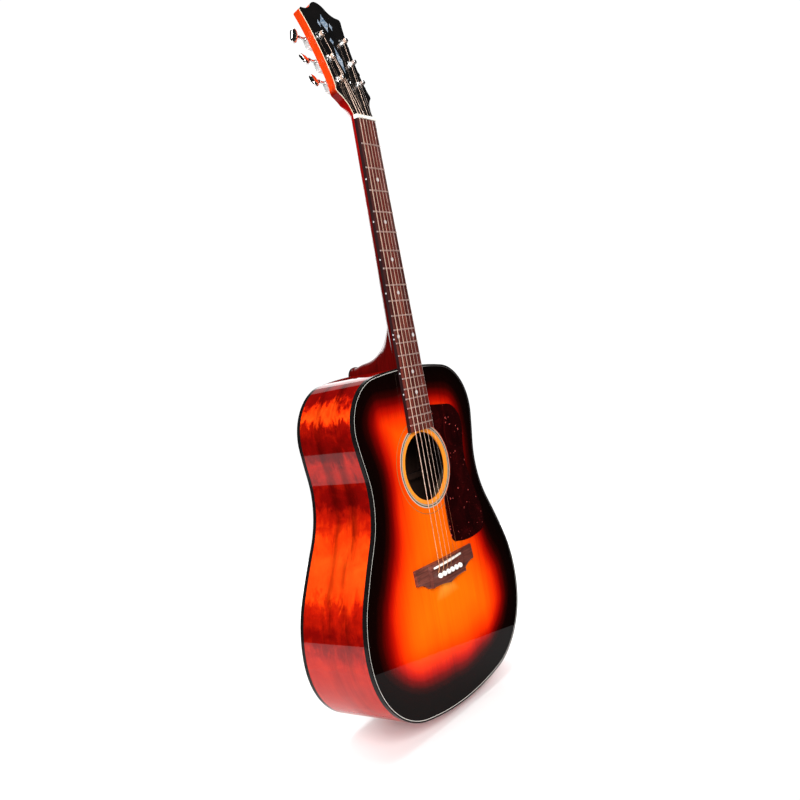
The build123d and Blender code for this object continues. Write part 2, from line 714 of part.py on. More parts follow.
nut_top = FB_T + FRET_H + 1.1
with BuildPart() as nut:
    with BuildSketch(across(NUT_V)):
        with BuildLine():
            half = NUT_WIDTH / 2
            fall = sag(half, FB_RADIUS)
            ThreePointArc((-half, fall - nut_top), (0, -nut_top), (half, fall - nut_top))
            Polyline((half, fall - nut_top), (half, -0.03), (-half, -0.03), (-half, fall - nut_top))
        make_face()
    extrude(amount=NUT_T - 0.05)
    # The crown slopes down to the headstock
    with BuildSketch(NECK_SIDE):
        with BuildLine():
            Polyline((NUT_V + 1.2, nut_top + 1), (NUT_V + 1.2, nut_top), (NUT_V + NUT_T, nut_top - 1.7),
                     (NUT_V + NUT_T + 1, nut_top + 1), close=True)
        make_face()
    extrude(amount=40, both=True, mode=Mode.SUBTRACT)

# ---------------------------------------------------------------- strings
WRAP_H = 4.4                # the string meets the post this high above the headplate
for i in range(6):
    ball, hole, saddle_point, nut_point = string_points(i)
    x_post, s_post, side = post_place(i)
    d = STRING_D[i]
    reach = POST_R + d / 2 + 0.05
    stop = math.sqrt((reach + d + 0.3) ** 2 - reach ** 2)
    end = HEAD.from_local_coords((x_post - side * reach, s_post - stop, WRAP_H))
    with BuildPart() as string:
        with BuildLine() as run:
            FilletPolyline(ball, hole, saddle_point, nut_point, end, radius=[1.8, 3.0, 6.0])
        with BuildSketch(Plane(origin=run.line @ 0, z_dir=run.line % 0)):
            Circle(d / 2)
        sweep(path=run.line)
        with Locations(ball + Vector(0, 0.9, 0.9)):
            Sphere(1.7)
    with BuildPart(mode=Mode.PRIVATE) as slot:
        with BuildLine() as bend:
            FilletPolyline(nut_point + (saddle_point - nut_point).normalized() * 6, nut_point,
                           nut_point + (end - nut_point).normalized() * 12, radius=6.0)
        with BuildSketch(Plane(origin=bend.line @ 0, z_dir=bend.line % 0)):
            Circle(d / 2 + 0.12)
        sweep(path=bend.line)
    with nut:
        add(slot.part, mode=Mode.SUBTRACT)
    save(string, f"string_{6 - i}")
save(nut, "nut")

# ---------------------------------------------------------------- truss rod
with BuildPart() as truss_rod:
    with BuildSketch(across(ROD_LOW)):
        with Locations((0, -ROD_W)):
            Circle(ROD_R)
    extrude(amount=ROD_HIGH - ROD_LOW - 9)
    with BuildSketch(across(ROD_HIGH - 10)):
        with Locations((0, -ROD_W)):
            Circle(1.8)
    extrude(amount=10)
save(truss_rod, "truss_rod")

with BuildPart() as truss_rod_nut:
    with BuildSketch(across(ROD_HIGH - 7)):
        with Locations((0, -ROD_W)):
            RegularPolygon(ROD_NUT_R, 6)
            Circle(1.8 + RUN, mode=Mode.SUBTRACT)
    extrude(amount=7)
save(truss_rod_nut, "truss_rod_nut")

# ================================================================ headstock
def diamond(x, s, half_width, half_height):
    with BuildSketch(Plane.XY) as shape:
        with BuildLine():
            bow = 0.12
            points = [(x, s + half_height), (x + half_width, s), (x, s - half_height),
                      (x - half_width, s)]
            for a, b in zip(points, points[1:] + points[:1]):
                middle = ((a[0] + b[0]) / 2 * (1 - bow) + x * bow,
                          (a[1] + b[1]) / 2 * (1 - bow) + s * bow)
                ThreePointArc(a, middle, b)
        make_face()
    return shape.sketch


inlays = [diamond(0, 93, 6, 24), diamond(0, 125, 4.5, 6), diamond(0, 155, 9, 16),
          diamond(-13, 152, 3.4, 7), diamond(13, 152, 3.4, 7)]
with BuildPart() as headstock_inlay:
    with BuildSketch(HEAD):
        for shape in inlays:
            add(shape)
    extrude(amount=-0.8)
save(headstock_inlay, "headstock_inlay")

with BuildPart() as headplate:
    with BuildSketch(HEAD):
        add(head_face)
        with Locations(*post_holes):
            Circle(4.95, mode=Mode.SUBTRACT)
        with Locations((0, (POCKET_LOW + POCKET_HIGH) / 2)):
            Rectangle(2 * POCKET_HALF, POCKET_HIGH - POCKET_LOW, mode=Mode.SUBTRACT)
        with Locations(*[(0, s) for s, length in COVER_SCREWS]):
            Circle(1.15, mode=Mode.SUBTRACT)
    extrude(amount=-HEADPLATE_T + 0.02)
    add(headstock_inlay.part, mode=Mode.SUBTRACT)
    add(nut_space.part, mode=Mode.SUBTRACT)
save(headplate, "headplate")

with BuildPart() as truss_rod_cover:
    with BuildSketch(HEAD):
        with BuildLine():
            Line((0, 1.5), (10.5, 1.5))
            ThreePointArc((10.5, 1.5), (11.2, 9), (9.5, 17))
            Spline((9.5, 17), (6.2, 36), (5.0, 56), tangents=[(-0.4, 1), (0, 1)])
            ThreePointArc((5.0, 56), (3.5, 59.5), (0, 61))
            mirror(about=Plane.YZ)
        make_face()
    extrude(amount=COVER_T)
    with BuildSketch(HEAD):
        with Locations(*[(0, s) for s, length in COVER_SCREWS]):
            Circle(1.15)
    extrude(amount=COVER_T, mode=Mode.SUBTRACT)
    cover_top = truss_rod_cover.faces().sort_by(Axis(HEAD.origin, HEAD.z_dir))[-1]
    chamfer(cover_top.outer_wire().edges(), 0.4)
save(truss_rod_cover, "truss_rod_cover")


def wood_screw(plane, x, y, length):
    """Small pan-head screw that stands on a plane, with a crossed slot in its head."""
    place = Plane(origin=plane.from_local_coords((x, y, 0)), x_dir=plane.x_dir, z_dir=plane.z_dir)
    section = Plane(origin=place.origin, x_dir=place.x_dir, z_dir=-place.y_dir)
    with BuildPart() as screw:
        with BuildSketch(section):
            with BuildLine():
                Polyline((0, 0.9), (0, -length), (0.5, -length + 1.2), (1.05, -length + 1.8),
                         (1.05, 0.05), (2.1, 0.05), (2.1, 0.35))
                ThreePointArc((2.1, 0.35), (1.3, 0.95), (0, 1.2))
                Line((0, 1.2), (0, 0.9))
            make_face()
        revolve(axis=Axis(place.origin, place.z_dir))
        with BuildSketch(place.offset(0.7)):
            Rectangle(2.4, 0.45)
            Rectangle(0.45, 2.4)
        extrude(amount=2, mode=Mode.SUBTRACT)
    return screw.part


# ---------------------------------------------------------------- tuning machines
HOUSE_LOW, HOUSE_HIGH = -HEAD_T - 0.05, -HEAD_T - 10.2
WORM_OUT, WORM_ROOT = WORM_R + 0.6, 1.5
GEAR_OUT, GEAR_ROOT, GEAR_W = GEAR_R + 0.6, GEAR_R - 0.95, 3.0
CENTRES = GEAR_R + WORM_R
WORM_LONG = 8.0
SHAFT_R = 1.9
SHAFT_OUT = 33.0            # button centre from the post, along the shaft
WALL = 9.0                  # housing's reach from the post towards the button
BUTTON_TURN = [6, 16, -28, -14, 18, -22]     # degrees each button stands away from flat
HEX_R, HEX_H = 5.7, 2.2
WASHER_R, WASHER_T = 7.0, 0.8
BACK_FACE = Plane(origin=HEAD.from_local_coords((0, 0, HOUSE_LOW)), x_dir=(-1, 0, 0), z_dir=-HEAD.z_dir)


def shaft_plane(i, out):
    """Plane square to a worm shaft, this far from the post; its x points up the headstock."""
    x, s, side = post_place(i)
    origin = HEAD.from_local_coords((x + side * out, s + CENTRES, AXIS_H))
    return Plane(origin=origin, x_dir=HEAD.y_dir, z_dir=(1, 0, 0))


def gear_sketch(x, s):
    """Wheel that the worm turns, with a gap between two teeth facing the worm."""
    with BuildSketch(Plane.XY) as wheel:
        with Locations((x, s)):
            Circle(GEAR_ROOT)
        for tooth in range(GEAR_TEETH):
            angle = 90 + 360 / GEAR_TEETH * (tooth + 0.5)
            radius = (GEAR_OUT + GEAR_ROOT - 0.5) / 2
            place = (x + radius * math.cos(math.radians(angle)),
                     s + radius * math.sin(math.radians(angle)), 0)
            with Locations(Location(place, (0, 0, angle - 90))):
                Trapezoid(0.95, GEAR_OUT - GEAR_ROOT + 0.5, 82)
    return wheel.sketch


with BuildPart() as worm:
    with BuildLine():
        Helix(pitch=WORM_PITCH, height=3 * WORM_PITCH, radius=WORM_ROOT + 0.05,
              center=(0, 0, -1.5 * WORM_PITCH))
    with BuildSketch(Plane(origin=(WORM_ROOT + 0.05, 0, -1.5 * WORM_PITCH), x_dir=(1, 0, 0),
                           z_dir=(0, 1, 0))):
        with BuildLine():
            Polyline((-0.35, -0.4), (WORM_OUT - WORM_ROOT, -0.25), (WORM_OUT - WORM_ROOT, 0.25),
                     (-0.35, 0.4), close=True)
        make_face()
    sweep(is_frenet=True)
    Cylinder(WORM_ROOT, WORM_LONG)

housings, bushings, screws = [], [], []
for i in range(6):
    x, s, side = post_place(i)
    with BuildPart() as housing:
        with BuildSketch(HEAD.offset(HOUSE_LOW)):
            with Locations((x + side * (WALL - 7.5) / 2, s + 1.7)):
                RectangleRounded(WALL + 7.5, 18.6, 3)
        extrude(amount=HOUSE_HIGH - HOUSE_LOW)
        rim_edges = housing.faces().sort_by(Axis(HEAD.origin, HEAD.z_dir))[0].outer_wire().edges()
        fillet(rim_edges, 1.8)
        with BuildSketch(HEAD.offset(HOUSE_LOW)):
            with Locations((x, s - 9)):
                SlotOverall(14, 6.5, rotation=90)
        extrude(amount=-2)
        with BuildSketch(HEAD.offset(HOUSE_LOW)):
            with Locations((x, s - 11.5)):
                Circle(1.15)
        extrude(amount=-2, mode=Mode.SUBTRACT)
        with BuildSketch(HEAD.offset(AXIS_H)):
            with Locations((x, s)):
                Circle(GEAR_OUT + 0.4)
        extrude(amount=GEAR_W / 2 + 0.3, both=True, mode=Mode.SUBTRACT)
        with BuildSketch(shaft_plane(i, 0)):
            Circle(WORM_OUT + 0.35)
        extrude(amount=WORM_LONG / 2 + 0.3, both=True, mode=Mode.SUBTRACT)
        with BuildSketch(shaft_plane(i, 0)):
            Circle(SHAFT_R + RUN)
        extrude(amount=side * (WALL + 1), mode=Mode.SUBTRACT)
        with BuildSketch(shaft_plane(i, 0)):
            Circle(1.2 + RUN)
        extrude(amount=-side * (WORM_LONG / 2 + 2), mode=Mode.SUBTRACT)
        with BuildSketch(HEAD):
            with Locations((x, s)):
                Circle(POST_R + RUN)
        extrude(amount=AXIS_H, mode=Mode.SUBTRACT)
        with BuildSketch(HEAD):
            with Locations((x, s)):
                Circle(1.5 + RUN)
        extrude(amount=AXIS_H - 4, mode=Mode.SUBTRACT)
    housings.append(housing.part)

    with BuildPart() as bushing:
        with BuildSketch(HEAD):
            with Locations((x, s)):
                Circle(4.85)
        extrude(amount=-HEAD_T + 2)
        with BuildSketch(HEAD):
            with Locations((x, s)):
                Circle(4.4)
        extrude(amount=WASHER_T)
        with BuildSketch(HEAD.offset(WASHER_T)):
            with Locations((x, s)):
                RegularPolygon(HEX_R, 6, rotation=12 * i)
        extrude(amount=HEX_H)
        with BuildSketch(HEAD.offset(WASHER_T + HEX_H)):
            with Locations((x, s)):
                Circle(POST_R + RUN)
        extrude(amount=-HEAD_T - 4, mode=Mode.SUBTRACT)
    with BuildPart() as washer:
        with BuildSketch(HEAD.offset(0.02)):
            with Locations((x, s)):
                Circle(WASHER_R)
                Circle(4.45, mode=Mode.SUBTRACT)
        extrude(amount=WASHER_T - 0.04)
    bushings += [bushing.part, washer.part]
    lug_face = BACK_FACE.offset(2.05)
    screws.append(wood_screw(lug_face, -x, s - 11.5, 9))

    gear_face = gear_sketch(x, s)
    with BuildPart() as post:
        with BuildSketch(HEAD.offset(AXIS_H)):
            add(gear_face)
        extrude(amount=GEAR_W / 2, both=True)
        with BuildSketch(HEAD.offset(AXIS_H)):
            with Locations((x, s)):
                Circle(POST_R)
        extrude(amount=-AXIS_H + 9.5)
        fillet(post.faces().sort_by(Axis(HEAD.origin, HEAD.z_dir))[-1].outer_wire().edges(), 0.7)
        with BuildSketch(HEAD.offset(AXIS_H)):
            with Locations((x, s)):
                Circle(1.5)
        extrude(amount=-3.6)
        eye = Plane(origin=HEAD.from_local_coords((x, s, 8.2)), z_dir=(1, 0, 0))
        with BuildSketch(eye):
            Circle(0.75)
        extrude(amount=5, both=True, mode=Mode.SUBTRACT)
    d = STRING_D[i]
    for turn in range(2 if d > 1 else 3):
        height = WRAP_H + turn * (d + 0.04)
        ring_place = Plane(origin=HEAD.from_local_coords((x, s, height)), x_dir=(1, 0, 0),
                           z_dir=HEAD.z_dir)
        with BuildPart(mode=Mode.PRIVATE) as coil:
            with BuildSketch(Plane(origin=ring_place.origin, x_dir=(1, 0, 0), z_dir=-HEAD.y_dir)):
                with Locations((POST_R + d / 2 + 0.05, 0)):
                    Circle(d / 2)
            revolve(axis=Axis(ring_place.origin, HEAD.z_dir))
        with post:
            add(coil.part)
    save(post, f"tuner_post_{6 - i}")

    with BuildPart() as button:
        add(shaft_plane(i, 0).location * worm.part)
        with BuildSketch(shaft_plane(i, WORM_LONG / 2 - 0.5)):
            Circle(SHAFT_R)
        extrude(amount=side * (SHAFT_OUT - WORM_LONG / 2 - 1))
        with BuildSketch(shaft_plane(i, 0)):
            Circle(1.2)
        extrude(amount=-side * (WORM_LONG / 2 + 1.6))
        with BuildSketch(shaft_plane(i, SHAFT_OUT - 11)):
            Circle(3.1)
        extrude(amount=side * 6)
        tilt = math.radians(BUTTON_TURN[i])
        flat = HEAD.z_dir * math.cos(tilt) + HEAD.y_dir * math.sin(tilt)
        middle = Plane(origin=shaft_plane(i, SHAFT_OUT).origin, x_dir=(1, 0, 0), z_dir=flat)
        with BuildPart(middle, mode=Mode.PRIVATE) as knob:
            with BuildSketch(middle):
                Ellipse(6.8, 10)
            extrude(amount=3.1, both=True)
            fillet(knob.edges().filter_by(lambda e: e.length > 20), 2.4)
        add(knob.part)
    save(button, f"tuner_button_{6 - i}")

with BuildPart() as tuner_housings:
    for piece in housings:
        add(piece)
save(tuner_housings, "tuner_housings")

with BuildPart() as tuner_bushings:
    for piece in bushings:
        add(piece)
save(tuner_bushings, "tuner_bushings")

cover_face = HEAD.offset(COVER_T)
screws += [wood_screw(cover_face, 0, s, length) for s, length in COVER_SCREWS]
with BuildPart() as small_screws:
    for piece in screws:
        add(piece)
save(small_screws, "small_screws")

# ================================================================ strap button
STRAP_NECK_R = 4.1
TAIL_PLANE = Plane(origin=(0, 0, 0), x_dir=(1, 0, 0), z_dir=(0, -1, 0))
with BuildPart() as strap_button:
    with BuildSketch(TAIL_PLANE):
        with BuildLine():
            Line((3.7, 0), (6.4, 0))
            ThreePointArc((6.4, 0), (7.3, 0.7), (7.5, 1.7))
            ThreePointArc((7.5, 1.7), (6.9, 3.0), (5.6, 3.7))
            ThreePointArc((5.6, 3.7), (4.4, 5.6), (STRAP_NECK_R, 8))
            ThreePointArc((STRAP_NECK_R, 8), (4.5, 11), (5.8, 13.6))
            Polyline((5.8, 13.6), (5.8, BUTTON_LENGTH - 0.05), (2.15, BUTTON_LENGTH - 0.05),
                     (2.15, 1.6), (3.7, 0))
        make_face()
    revolve(axis=Axis.Z)
save(strap_button, "strap_button")

with BuildPart() as strap_button_screw:
    with BuildSketch(TAIL_PLANE):
        with BuildLine():
            Polyline((0, 0.1), (3.55, 0.1), (2.0, 1.65), (2.0, BUTTON_LENGTH),
                     (1.7, BUTTON_LENGTH + 0.4), (1.7, 29), (0, 33), (0, 0.1))
        make_face()
    revolve(axis=Axis.Z)
    with BuildSketch(Plane.XY.offset(-0.5)):
        Rectangle(4.2, 0.7)
        Rectangle(0.7, 4.2)
    extrude(amount=1.8, mode=Mode.SUBTRACT)
save(strap_button_screw, "strap_button_screw")
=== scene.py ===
import json
import math

import bmesh
import bpy
import numpy as np
from mathutils import Matrix, Vector
from mathutils.bvhtree import BVHTree
from mathutils.geometry import delaunay_2d_cdt


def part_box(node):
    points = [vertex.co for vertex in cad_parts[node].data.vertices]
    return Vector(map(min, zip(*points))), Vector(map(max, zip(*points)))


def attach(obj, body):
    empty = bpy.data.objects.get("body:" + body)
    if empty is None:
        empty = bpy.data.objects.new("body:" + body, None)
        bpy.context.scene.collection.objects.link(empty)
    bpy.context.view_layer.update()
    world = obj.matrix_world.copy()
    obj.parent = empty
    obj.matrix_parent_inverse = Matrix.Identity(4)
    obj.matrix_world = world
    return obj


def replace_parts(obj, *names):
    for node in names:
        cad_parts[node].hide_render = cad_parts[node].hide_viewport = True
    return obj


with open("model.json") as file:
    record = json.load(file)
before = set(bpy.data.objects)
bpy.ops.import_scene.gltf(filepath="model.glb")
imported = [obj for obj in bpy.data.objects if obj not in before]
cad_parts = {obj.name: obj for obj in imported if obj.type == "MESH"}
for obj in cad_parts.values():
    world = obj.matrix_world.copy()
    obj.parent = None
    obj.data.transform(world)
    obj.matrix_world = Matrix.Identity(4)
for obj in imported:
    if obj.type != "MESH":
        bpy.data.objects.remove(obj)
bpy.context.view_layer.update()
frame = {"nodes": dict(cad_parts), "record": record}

nodes = frame["nodes"]
scene = bpy.context.scene
MM = 0.001

# ---------------------------------------------------------------- places read from the frame
FACE_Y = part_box("soundboard")[0].y                      # the soundboard's outer face
hole_low, hole_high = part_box("rosette")
HOLE = Vector(((hole_low.x + hole_high.x) / 2, FACE_Y, (hole_low.z + hole_high.z) / 2))
SADDLE_TO_HOLE = 140.9 * MM
SADDLE_UP = HOLE.z - SADDLE_TO_HOLE                     # height of the saddle line
NECK_TILT, HEAD_TILT = math.radians(0.4), math.radians(15.6)
SCALE_LENGTH, JOIN_FRET = 0.651, 14
JOIN = SCALE_LENGTH * 2 ** (-JOIN_FRET / 12)            # from the saddle to the body's edge
NUT_V = SCALE_LENGTH - JOIN
NUT_T = 5.5 * MM
HEAD_START = 3.0 * MM       # headplate face at the nut, above the fretboard's underside
HORN_UP = 38 * MM           # widest place of the headstock's lower end, above the nut
HALF_AT_NUT, HALF_AT_JOIN = 21.5 * MM, 27.5 * MM        # half the fretboard's width
RING_IN, RING_OUT = 56.6 * MM, 71.4 * MM                # radii of the rosette's inlaid rings


class Place:
    """A tilted plane: x to the treble side, y up the neck or headstock, z out of the front."""

    def __init__(self, origin, tilt):
        self.origin = Vector(origin)
        self.x = Vector((1, 0, 0))
        self.y = Vector((0, math.sin(tilt), math.cos(tilt)))
        self.z = Vector((0, -math.cos(tilt), math.sin(tilt)))

    def at(self, x, y, z=0.0):
        return self.origin + self.x * x + self.y * y + self.z * z


FACE = Place((0, FACE_Y, SADDLE_UP), 0)
NECK = Place(FACE.at(0, JOIN), NECK_TILT)
HEAD = Place(NECK.at(0, NUT_V + NUT_T, HEAD_START), HEAD_TILT)


# ---------------------------------------------------------------- materials
class Paint:
    """A Principled material, with short ways to add nodes to it."""

    def __init__(self, name, colour, roughness, metallic=0.0, coat=0.0, coat_roughness=0.03, level=0.5):
        self.mat = bpy.data.materials.new(name)
        self.mat.use_nodes = True
        self.tree = self.mat.node_tree
        self.shader = self.tree.nodes["Principled BSDF"]
        self.mat.diffuse_color = (*colour, 1)
        self.set("Base Color", (*colour, 1))
        self.set("Roughness", roughness)
        self.set("Metallic", metallic)
        self.set("Coat Weight", coat)
        self.set("Coat Roughness", coat_roughness)
        self.set("Specular IOR Level", level)

    def set(self, socket, value):
        self.shader.inputs[socket].default_value = value

    def add(self, kind, inputs=(), **settings):
        node = self.tree.nodes.new(kind)
        for key, value in settings.items():
            setattr(node, key, value)
        for key, value in dict(inputs).items():
            if isinstance(value, bpy.types.NodeSocket):
                self.tree.links.new(value, node.inputs[key])
            else:
                node.inputs[key].default_value = value
        return node

    def place(self, scale=(1, 1, 1), shift=(0, 0, 0)):
        """Object coordinates, stretched by a scale for each axis."""
        where = self.add("ShaderNodeTexCoord").outputs["Object"]
        return self.add("ShaderNodeMapping", {"Vector": where, "Scale": scale, "Location": shift}).outputs[0]

    def noise(self, scale, detail=3.0, rough=0.5, warp=0.0, vector=None):
        """Noise whose scale is three numbers of blobs a metre, along X, Y and Z."""
        vector = vector or self.place(scale)
        settings = {"Vector": vector, "Scale": 1.0, "Detail": detail, "Roughness": rough, "Distortion": warp}
        return self.add("ShaderNodeTexNoise", settings).outputs["Fac"]

    def ramp(self, value, stops, ease="LINEAR"):
        node = self.add("ShaderNodeValToRGB", {"Fac": value})
        node.color_ramp.interpolation = ease
        while len(node.color_ramp.elements) < len(stops):
            node.color_ramp.elements.new(0.5)
        for element, (position, colour) in zip(node.color_ramp.elements, stops):
            element.position = position
            grey = isinstance(colour, (int, float))
            element.color = (colour, colour, colour, 1) if grey else (*colour, 1)
        return node.outputs["Color"]

    def math(self, kind, a, b=0.5):
        return self.add("ShaderNodeMath", {0: a, 1: b}, operation=kind).outputs[0]

    def span(self, value, low, high, to_low=0.0, to_high=1.0):
        settings = {"Value": value, "From Min": low, "From Max": high, "To Min": to_low, "To Max": to_high}
        return self.add("ShaderNodeMapRange", settings).outputs[0]

    def mix(self, kind, amount, a, b):
        """Blends two colours, each a socket or three numbers."""
        node = self.add("ShaderNodeMix", data_type="RGBA", blend_type=kind)
        for index, value in ((0, amount), (6, a), (7, b)):
            if isinstance(value, bpy.types.NodeSocket):
                self.tree.links.new(value, node.inputs[index])
            elif index:
                node.inputs[index].default_value = (*value, 1)
            else:
                node.inputs[index].default_value = value
        return node.outputs[2]

    def axis(self, name):
        where = self.add("ShaderNodeTexCoord").outputs["Object"]
        return self.add("ShaderNodeSeparateXYZ", {"Vector": where}).outputs[name]

    def faces_sideways(self, least):
        """1 on faces that look along X, to either side."""
        normal = self.add("ShaderNodeNewGeometry").outputs["Normal"]
        across = self.add("ShaderNodeSeparateXYZ", {"Vector": normal}).outputs["X"]
        return self.math("GREATER_THAN", self.math("ABSOLUTE", across), least)

    def about_middle(self, scale):
        """Object coordinates mirrored about the middle plane, stretched by a scale for each axis."""
        apart = self.add("ShaderNodeVectorMath", {0: self.place()}, operation="ABSOLUTE").outputs[0]
        return self.add("ShaderNodeMapping", {"Vector": apart, "Scale": scale}).outputs[0]

    def colour(self, socket):
        self.tree.links.new(socket, self.shader.inputs["Base Color"])

    def roughness(self, value, low, high):
        self.tree.links.new(self.span(value, 0.0, 1.0, low, high), self.shader.inputs["Roughness"])

    def bump(self, value, height, strength=0.5):
        bumped = self.add("ShaderNodeBump", {"Height": value, "Strength": strength, "Distance": height})
        self.tree.links.new(bumped.outputs["Normal"], self.shader.inputs["Normal"])


def sunburst():
    """Spruce top: amber middle, orange, red and a wide black edge, by the distance from the rim."""
    paint = Paint("sunburst_top", (0.9, 0.2, 0.01), 0.42, coat=0.15, coat_roughness=0.02, level=0.0)
    edge = paint.add("ShaderNodeAttribute", attribute_name="edge").outputs["Fac"]
    cloud = paint.noise((9, 9, 6), 2.0)
    wobble = paint.span(cloud, 0.3, 0.7, -0.006, 0.006)
    burst = paint.ramp(paint.span(paint.math("ADD", edge, wobble), 0.0, BRIGHTEST), [
        (0.00, (0.002, 0.0008, 0.0006)), (0.115, (0.004, 0.0006, 0.0005)), (0.175, (0.026, 0.0008, 0.0005)),
        (0.24, (0.15, 0.0010, 0.0006)), (0.31, (0.50, 0.006, 0.0008)), (0.38, (0.84, 0.030, 0.001)),
        (0.46, (0.92, 0.060, 0.001)), (0.57, (0.94, 0.105, 0.0015)), (0.72, (0.95, 0.140, 0.002)),
        (0.88, (0.96, 0.155, 0.002)), (0.97, (0.97, 0.30, 0.030))])
    # Growth rings run up the board, mirrored about the joint in the middle
    grain = paint.noise(None, 4.0, 0.65, 0.3, paint.about_middle((420, 1, 5)))
    silk = paint.noise((95, 1, 4.5), 3.0, 0.6, 0.3)
    tone = paint.math("MULTIPLY", paint.span(grain, 0.3, 0.7, 0.88, 1.07),
                      paint.span(silk, 0.32, 0.68, 0.86, 1.07))
    paint.colour(paint.mix("MULTIPLY", 1.0, burst, paint.ramp(tone, [(0.0, 0.0), (1.0, 1.0)])))
    paint.roughness(grain, 0.36, 0.5)
    return paint.mat


def amber_mahogany():
    """Lacquered mahogany with darker streaks; painted light makes bands by height glow orange between deep
    red ones.
    """
    paint = Paint("amber_mahogany", (0.42, 0.05, 0.01), 0.40, coat=0.62, coat_roughness=0.02, level=0.0)
    height, deep = paint.axis("Z"), paint.axis("Y")
    flame = paint.noise((22, 38, 16), 3.0, 0.6, 0.8)
    curl = paint.noise((80, 110, 42), 4.0, 0.65, 1.2)
    ragged = paint.math("ADD", paint.span(flame, 0.3, 0.7, -0.012, 0.012),
                        paint.span(curl, 0.3, 0.7, -0.007, 0.007))
    # Painted light: bands by height where the sides catch the light are painted bright orange, with ragged
    # edges
    level = paint.span(paint.math("ADD", height, ragged), 0.0, 0.60)
    glow = paint.ramp(level, [
        (0.00, 0.52), (0.12, 0.50), (0.24, 0.47), (0.285, 0.24), (0.335, 0.36), (0.362, 0.46), (0.395, 0.78),
        (0.45, 0.86), (0.495, 0.72), (0.52, 0.52), (0.553, 0.40), (0.585, 0.20), (0.61, 0.26), (0.66, 0.42),
        (0.715, 0.17), (0.765, 0.30), (0.788, 0.86), (0.805, 0.70), (0.83, 0.26), (1.00, 0.26)], "EASE")
    blotch = paint.noise((26, 30, 55), 4.0, 0.6, 0.7)
    glow = paint.math("ADD", glow, paint.span(blotch, 0.3, 0.7, -0.07, 0.07))
    wood = paint.ramp(glow, [
        (0.0, (0.045, 0.0008, 0.0006)), (0.25, (0.17, 0.0014, 0.0008)), (0.45, (0.40, 0.0070, 0.0012)),
        (0.70, (0.80, 0.036, 0.002)), (1.0, (0.92, 0.088, 0.006))])
    pores = paint.noise((60, 900, 14), 4.0, 0.7, 0.2)
    # Two soft darker streaks run up each side, broken by patches
    sway = paint.math("ADD", deep, paint.span(paint.noise((30, 30, 22), 3.0), 0.3, 0.7, -0.004, 0.004))
    bands = paint.ramp(paint.span(sway, -0.067, 0.067), [
        (0.16, 0.0), (0.29, 1.0), (0.39, 0.12), (0.50, 0.9), (0.64, 0.0), (0.80, 0.25), (0.90, 0.0)], "EASE")
    patch = paint.noise((12, 60, 10), 4.0, 0.6)
    streak = paint.math("MULTIPLY", bands, paint.span(patch, 0.34, 0.56))
    tone = paint.math("MULTIPLY", paint.span(pores, 0.3, 0.7, 0.86, 1.08),
                      paint.span(streak, 0.0, 1.0, 1.03, 0.45))
    painted_glow_and_figure = paint.mix("MULTIPLY", 1.0, wood, paint.ramp(tone, [(0.0, 0.0), (1.0, 1.0)]))
    # The wood is plainer towards the tail
    plain = paint.ramp(pores, [(0.3, (0.28, 0.006, 0.003)), (0.7, (0.38, 0.012, 0.005))])
    paint.colour(paint.mix("MIX", paint.span(height, 0.11, 0.18, 0.72, 0.0), painted_glow_and_figure, plain))
    paint.roughness(pores, 0.34, 0.46)
    return paint.mat


def back_mahogany():
    """The back's two mirrored halves, red-brown with long grain."""
    paint = Paint("back_mahogany", (0.30, 0.03, 0.01), 0.40, coat=1.0, coat_roughness=0.02, level=0.0)
    ribbon = paint.noise(None, 4.0, 0.6, 0.9, paint.about_middle((34, 10, 5)))
    wood = paint.ramp(ribbon, [(0.30, (0.085, 0.004, 0.002)), (0.48, (0.24, 0.014, 0.004)),
                               (0.66, (0.50, 0.045, 0.008))])
    pores = paint.noise(None, 3.0, 0.7, 0.2, paint.about_middle((700, 30, 22)))
    dark = paint.ramp(paint.span(pores, 0.28, 0.6), [(0.0, 0.55), (0.5, 0.95), (1.0, 1.0)])
    seam = paint.math("LESS_THAN", paint.math("ABSOLUTE", paint.axis("X")), 0.5 * MM)
    wood = paint.mix("MULTIPLY", 1.0, wood, dark)
    paint.colour(paint.mix("MIX", seam, wood, (0.03, 0.006, 0.004)))
    paint.roughness(pores, 0.34, 0.46)
    return paint.mat


def neck_mahogany():
    """Neck of a dark red that brightens towards the nut, with painted light making the headstock orange above
    its horns and painted shade keeping it darker just below them.
    """
    paint = Paint("neck_mahogany", (0.28, 0.03, 0.01), 0.40, coat=0.3, coat_roughness=0.14, level=0.0)
    waver = paint.span(paint.noise((60, 60, 20)), 0.3, 0.7, -0.002, 0.002)
    height = paint.math("ADD", paint.axis("Z"), waver)
    horn, nut = HEAD.at(0, HORN_UP).z, HEAD.at(0, 0).z
    shaft = paint.ramp(paint.span(height, nut - 0.33, nut + 0.03), [
        (0.0, (0.095, 0.0016, 0.0012)), (0.30, (0.10, 0.0016, 0.0014)), (0.55, (0.17, 0.0016, 0.0014)),
        (0.85, (0.36, 0.0020, 0.0014)), (0.93, (0.34, 0.0020, 0.0014)), (1.0, (0.20, 0.0025, 0.0014))])
    # Painted light makes the headstock orange above its horns; the ramp's darker red from the nut up to the
    # horns is painted shade
    base = paint.mix("MIX", paint.span(height, horn - 0.004, horn + 0.006), shaft, (0.80, 0.050, 0.004))
    pores = paint.noise((420, 420, 13), 4.0, 0.7, 0.3)
    streak = paint.noise((55, 55, 4), 3.0, 0.6, 0.6)
    tone = paint.math("MULTIPLY", paint.span(pores, 0.3, 0.7, 0.72, 1.10),
                      paint.span(streak, 0.3, 0.7, 0.62, 1.15))
    paint.colour(paint.mix("MULTIPLY", 1.0, base, paint.ramp(tone, [(0.0, 0.0), (1.0, 1.0)])))
    paint.roughness(pores, 0.32, 0.46)
    return paint.mat


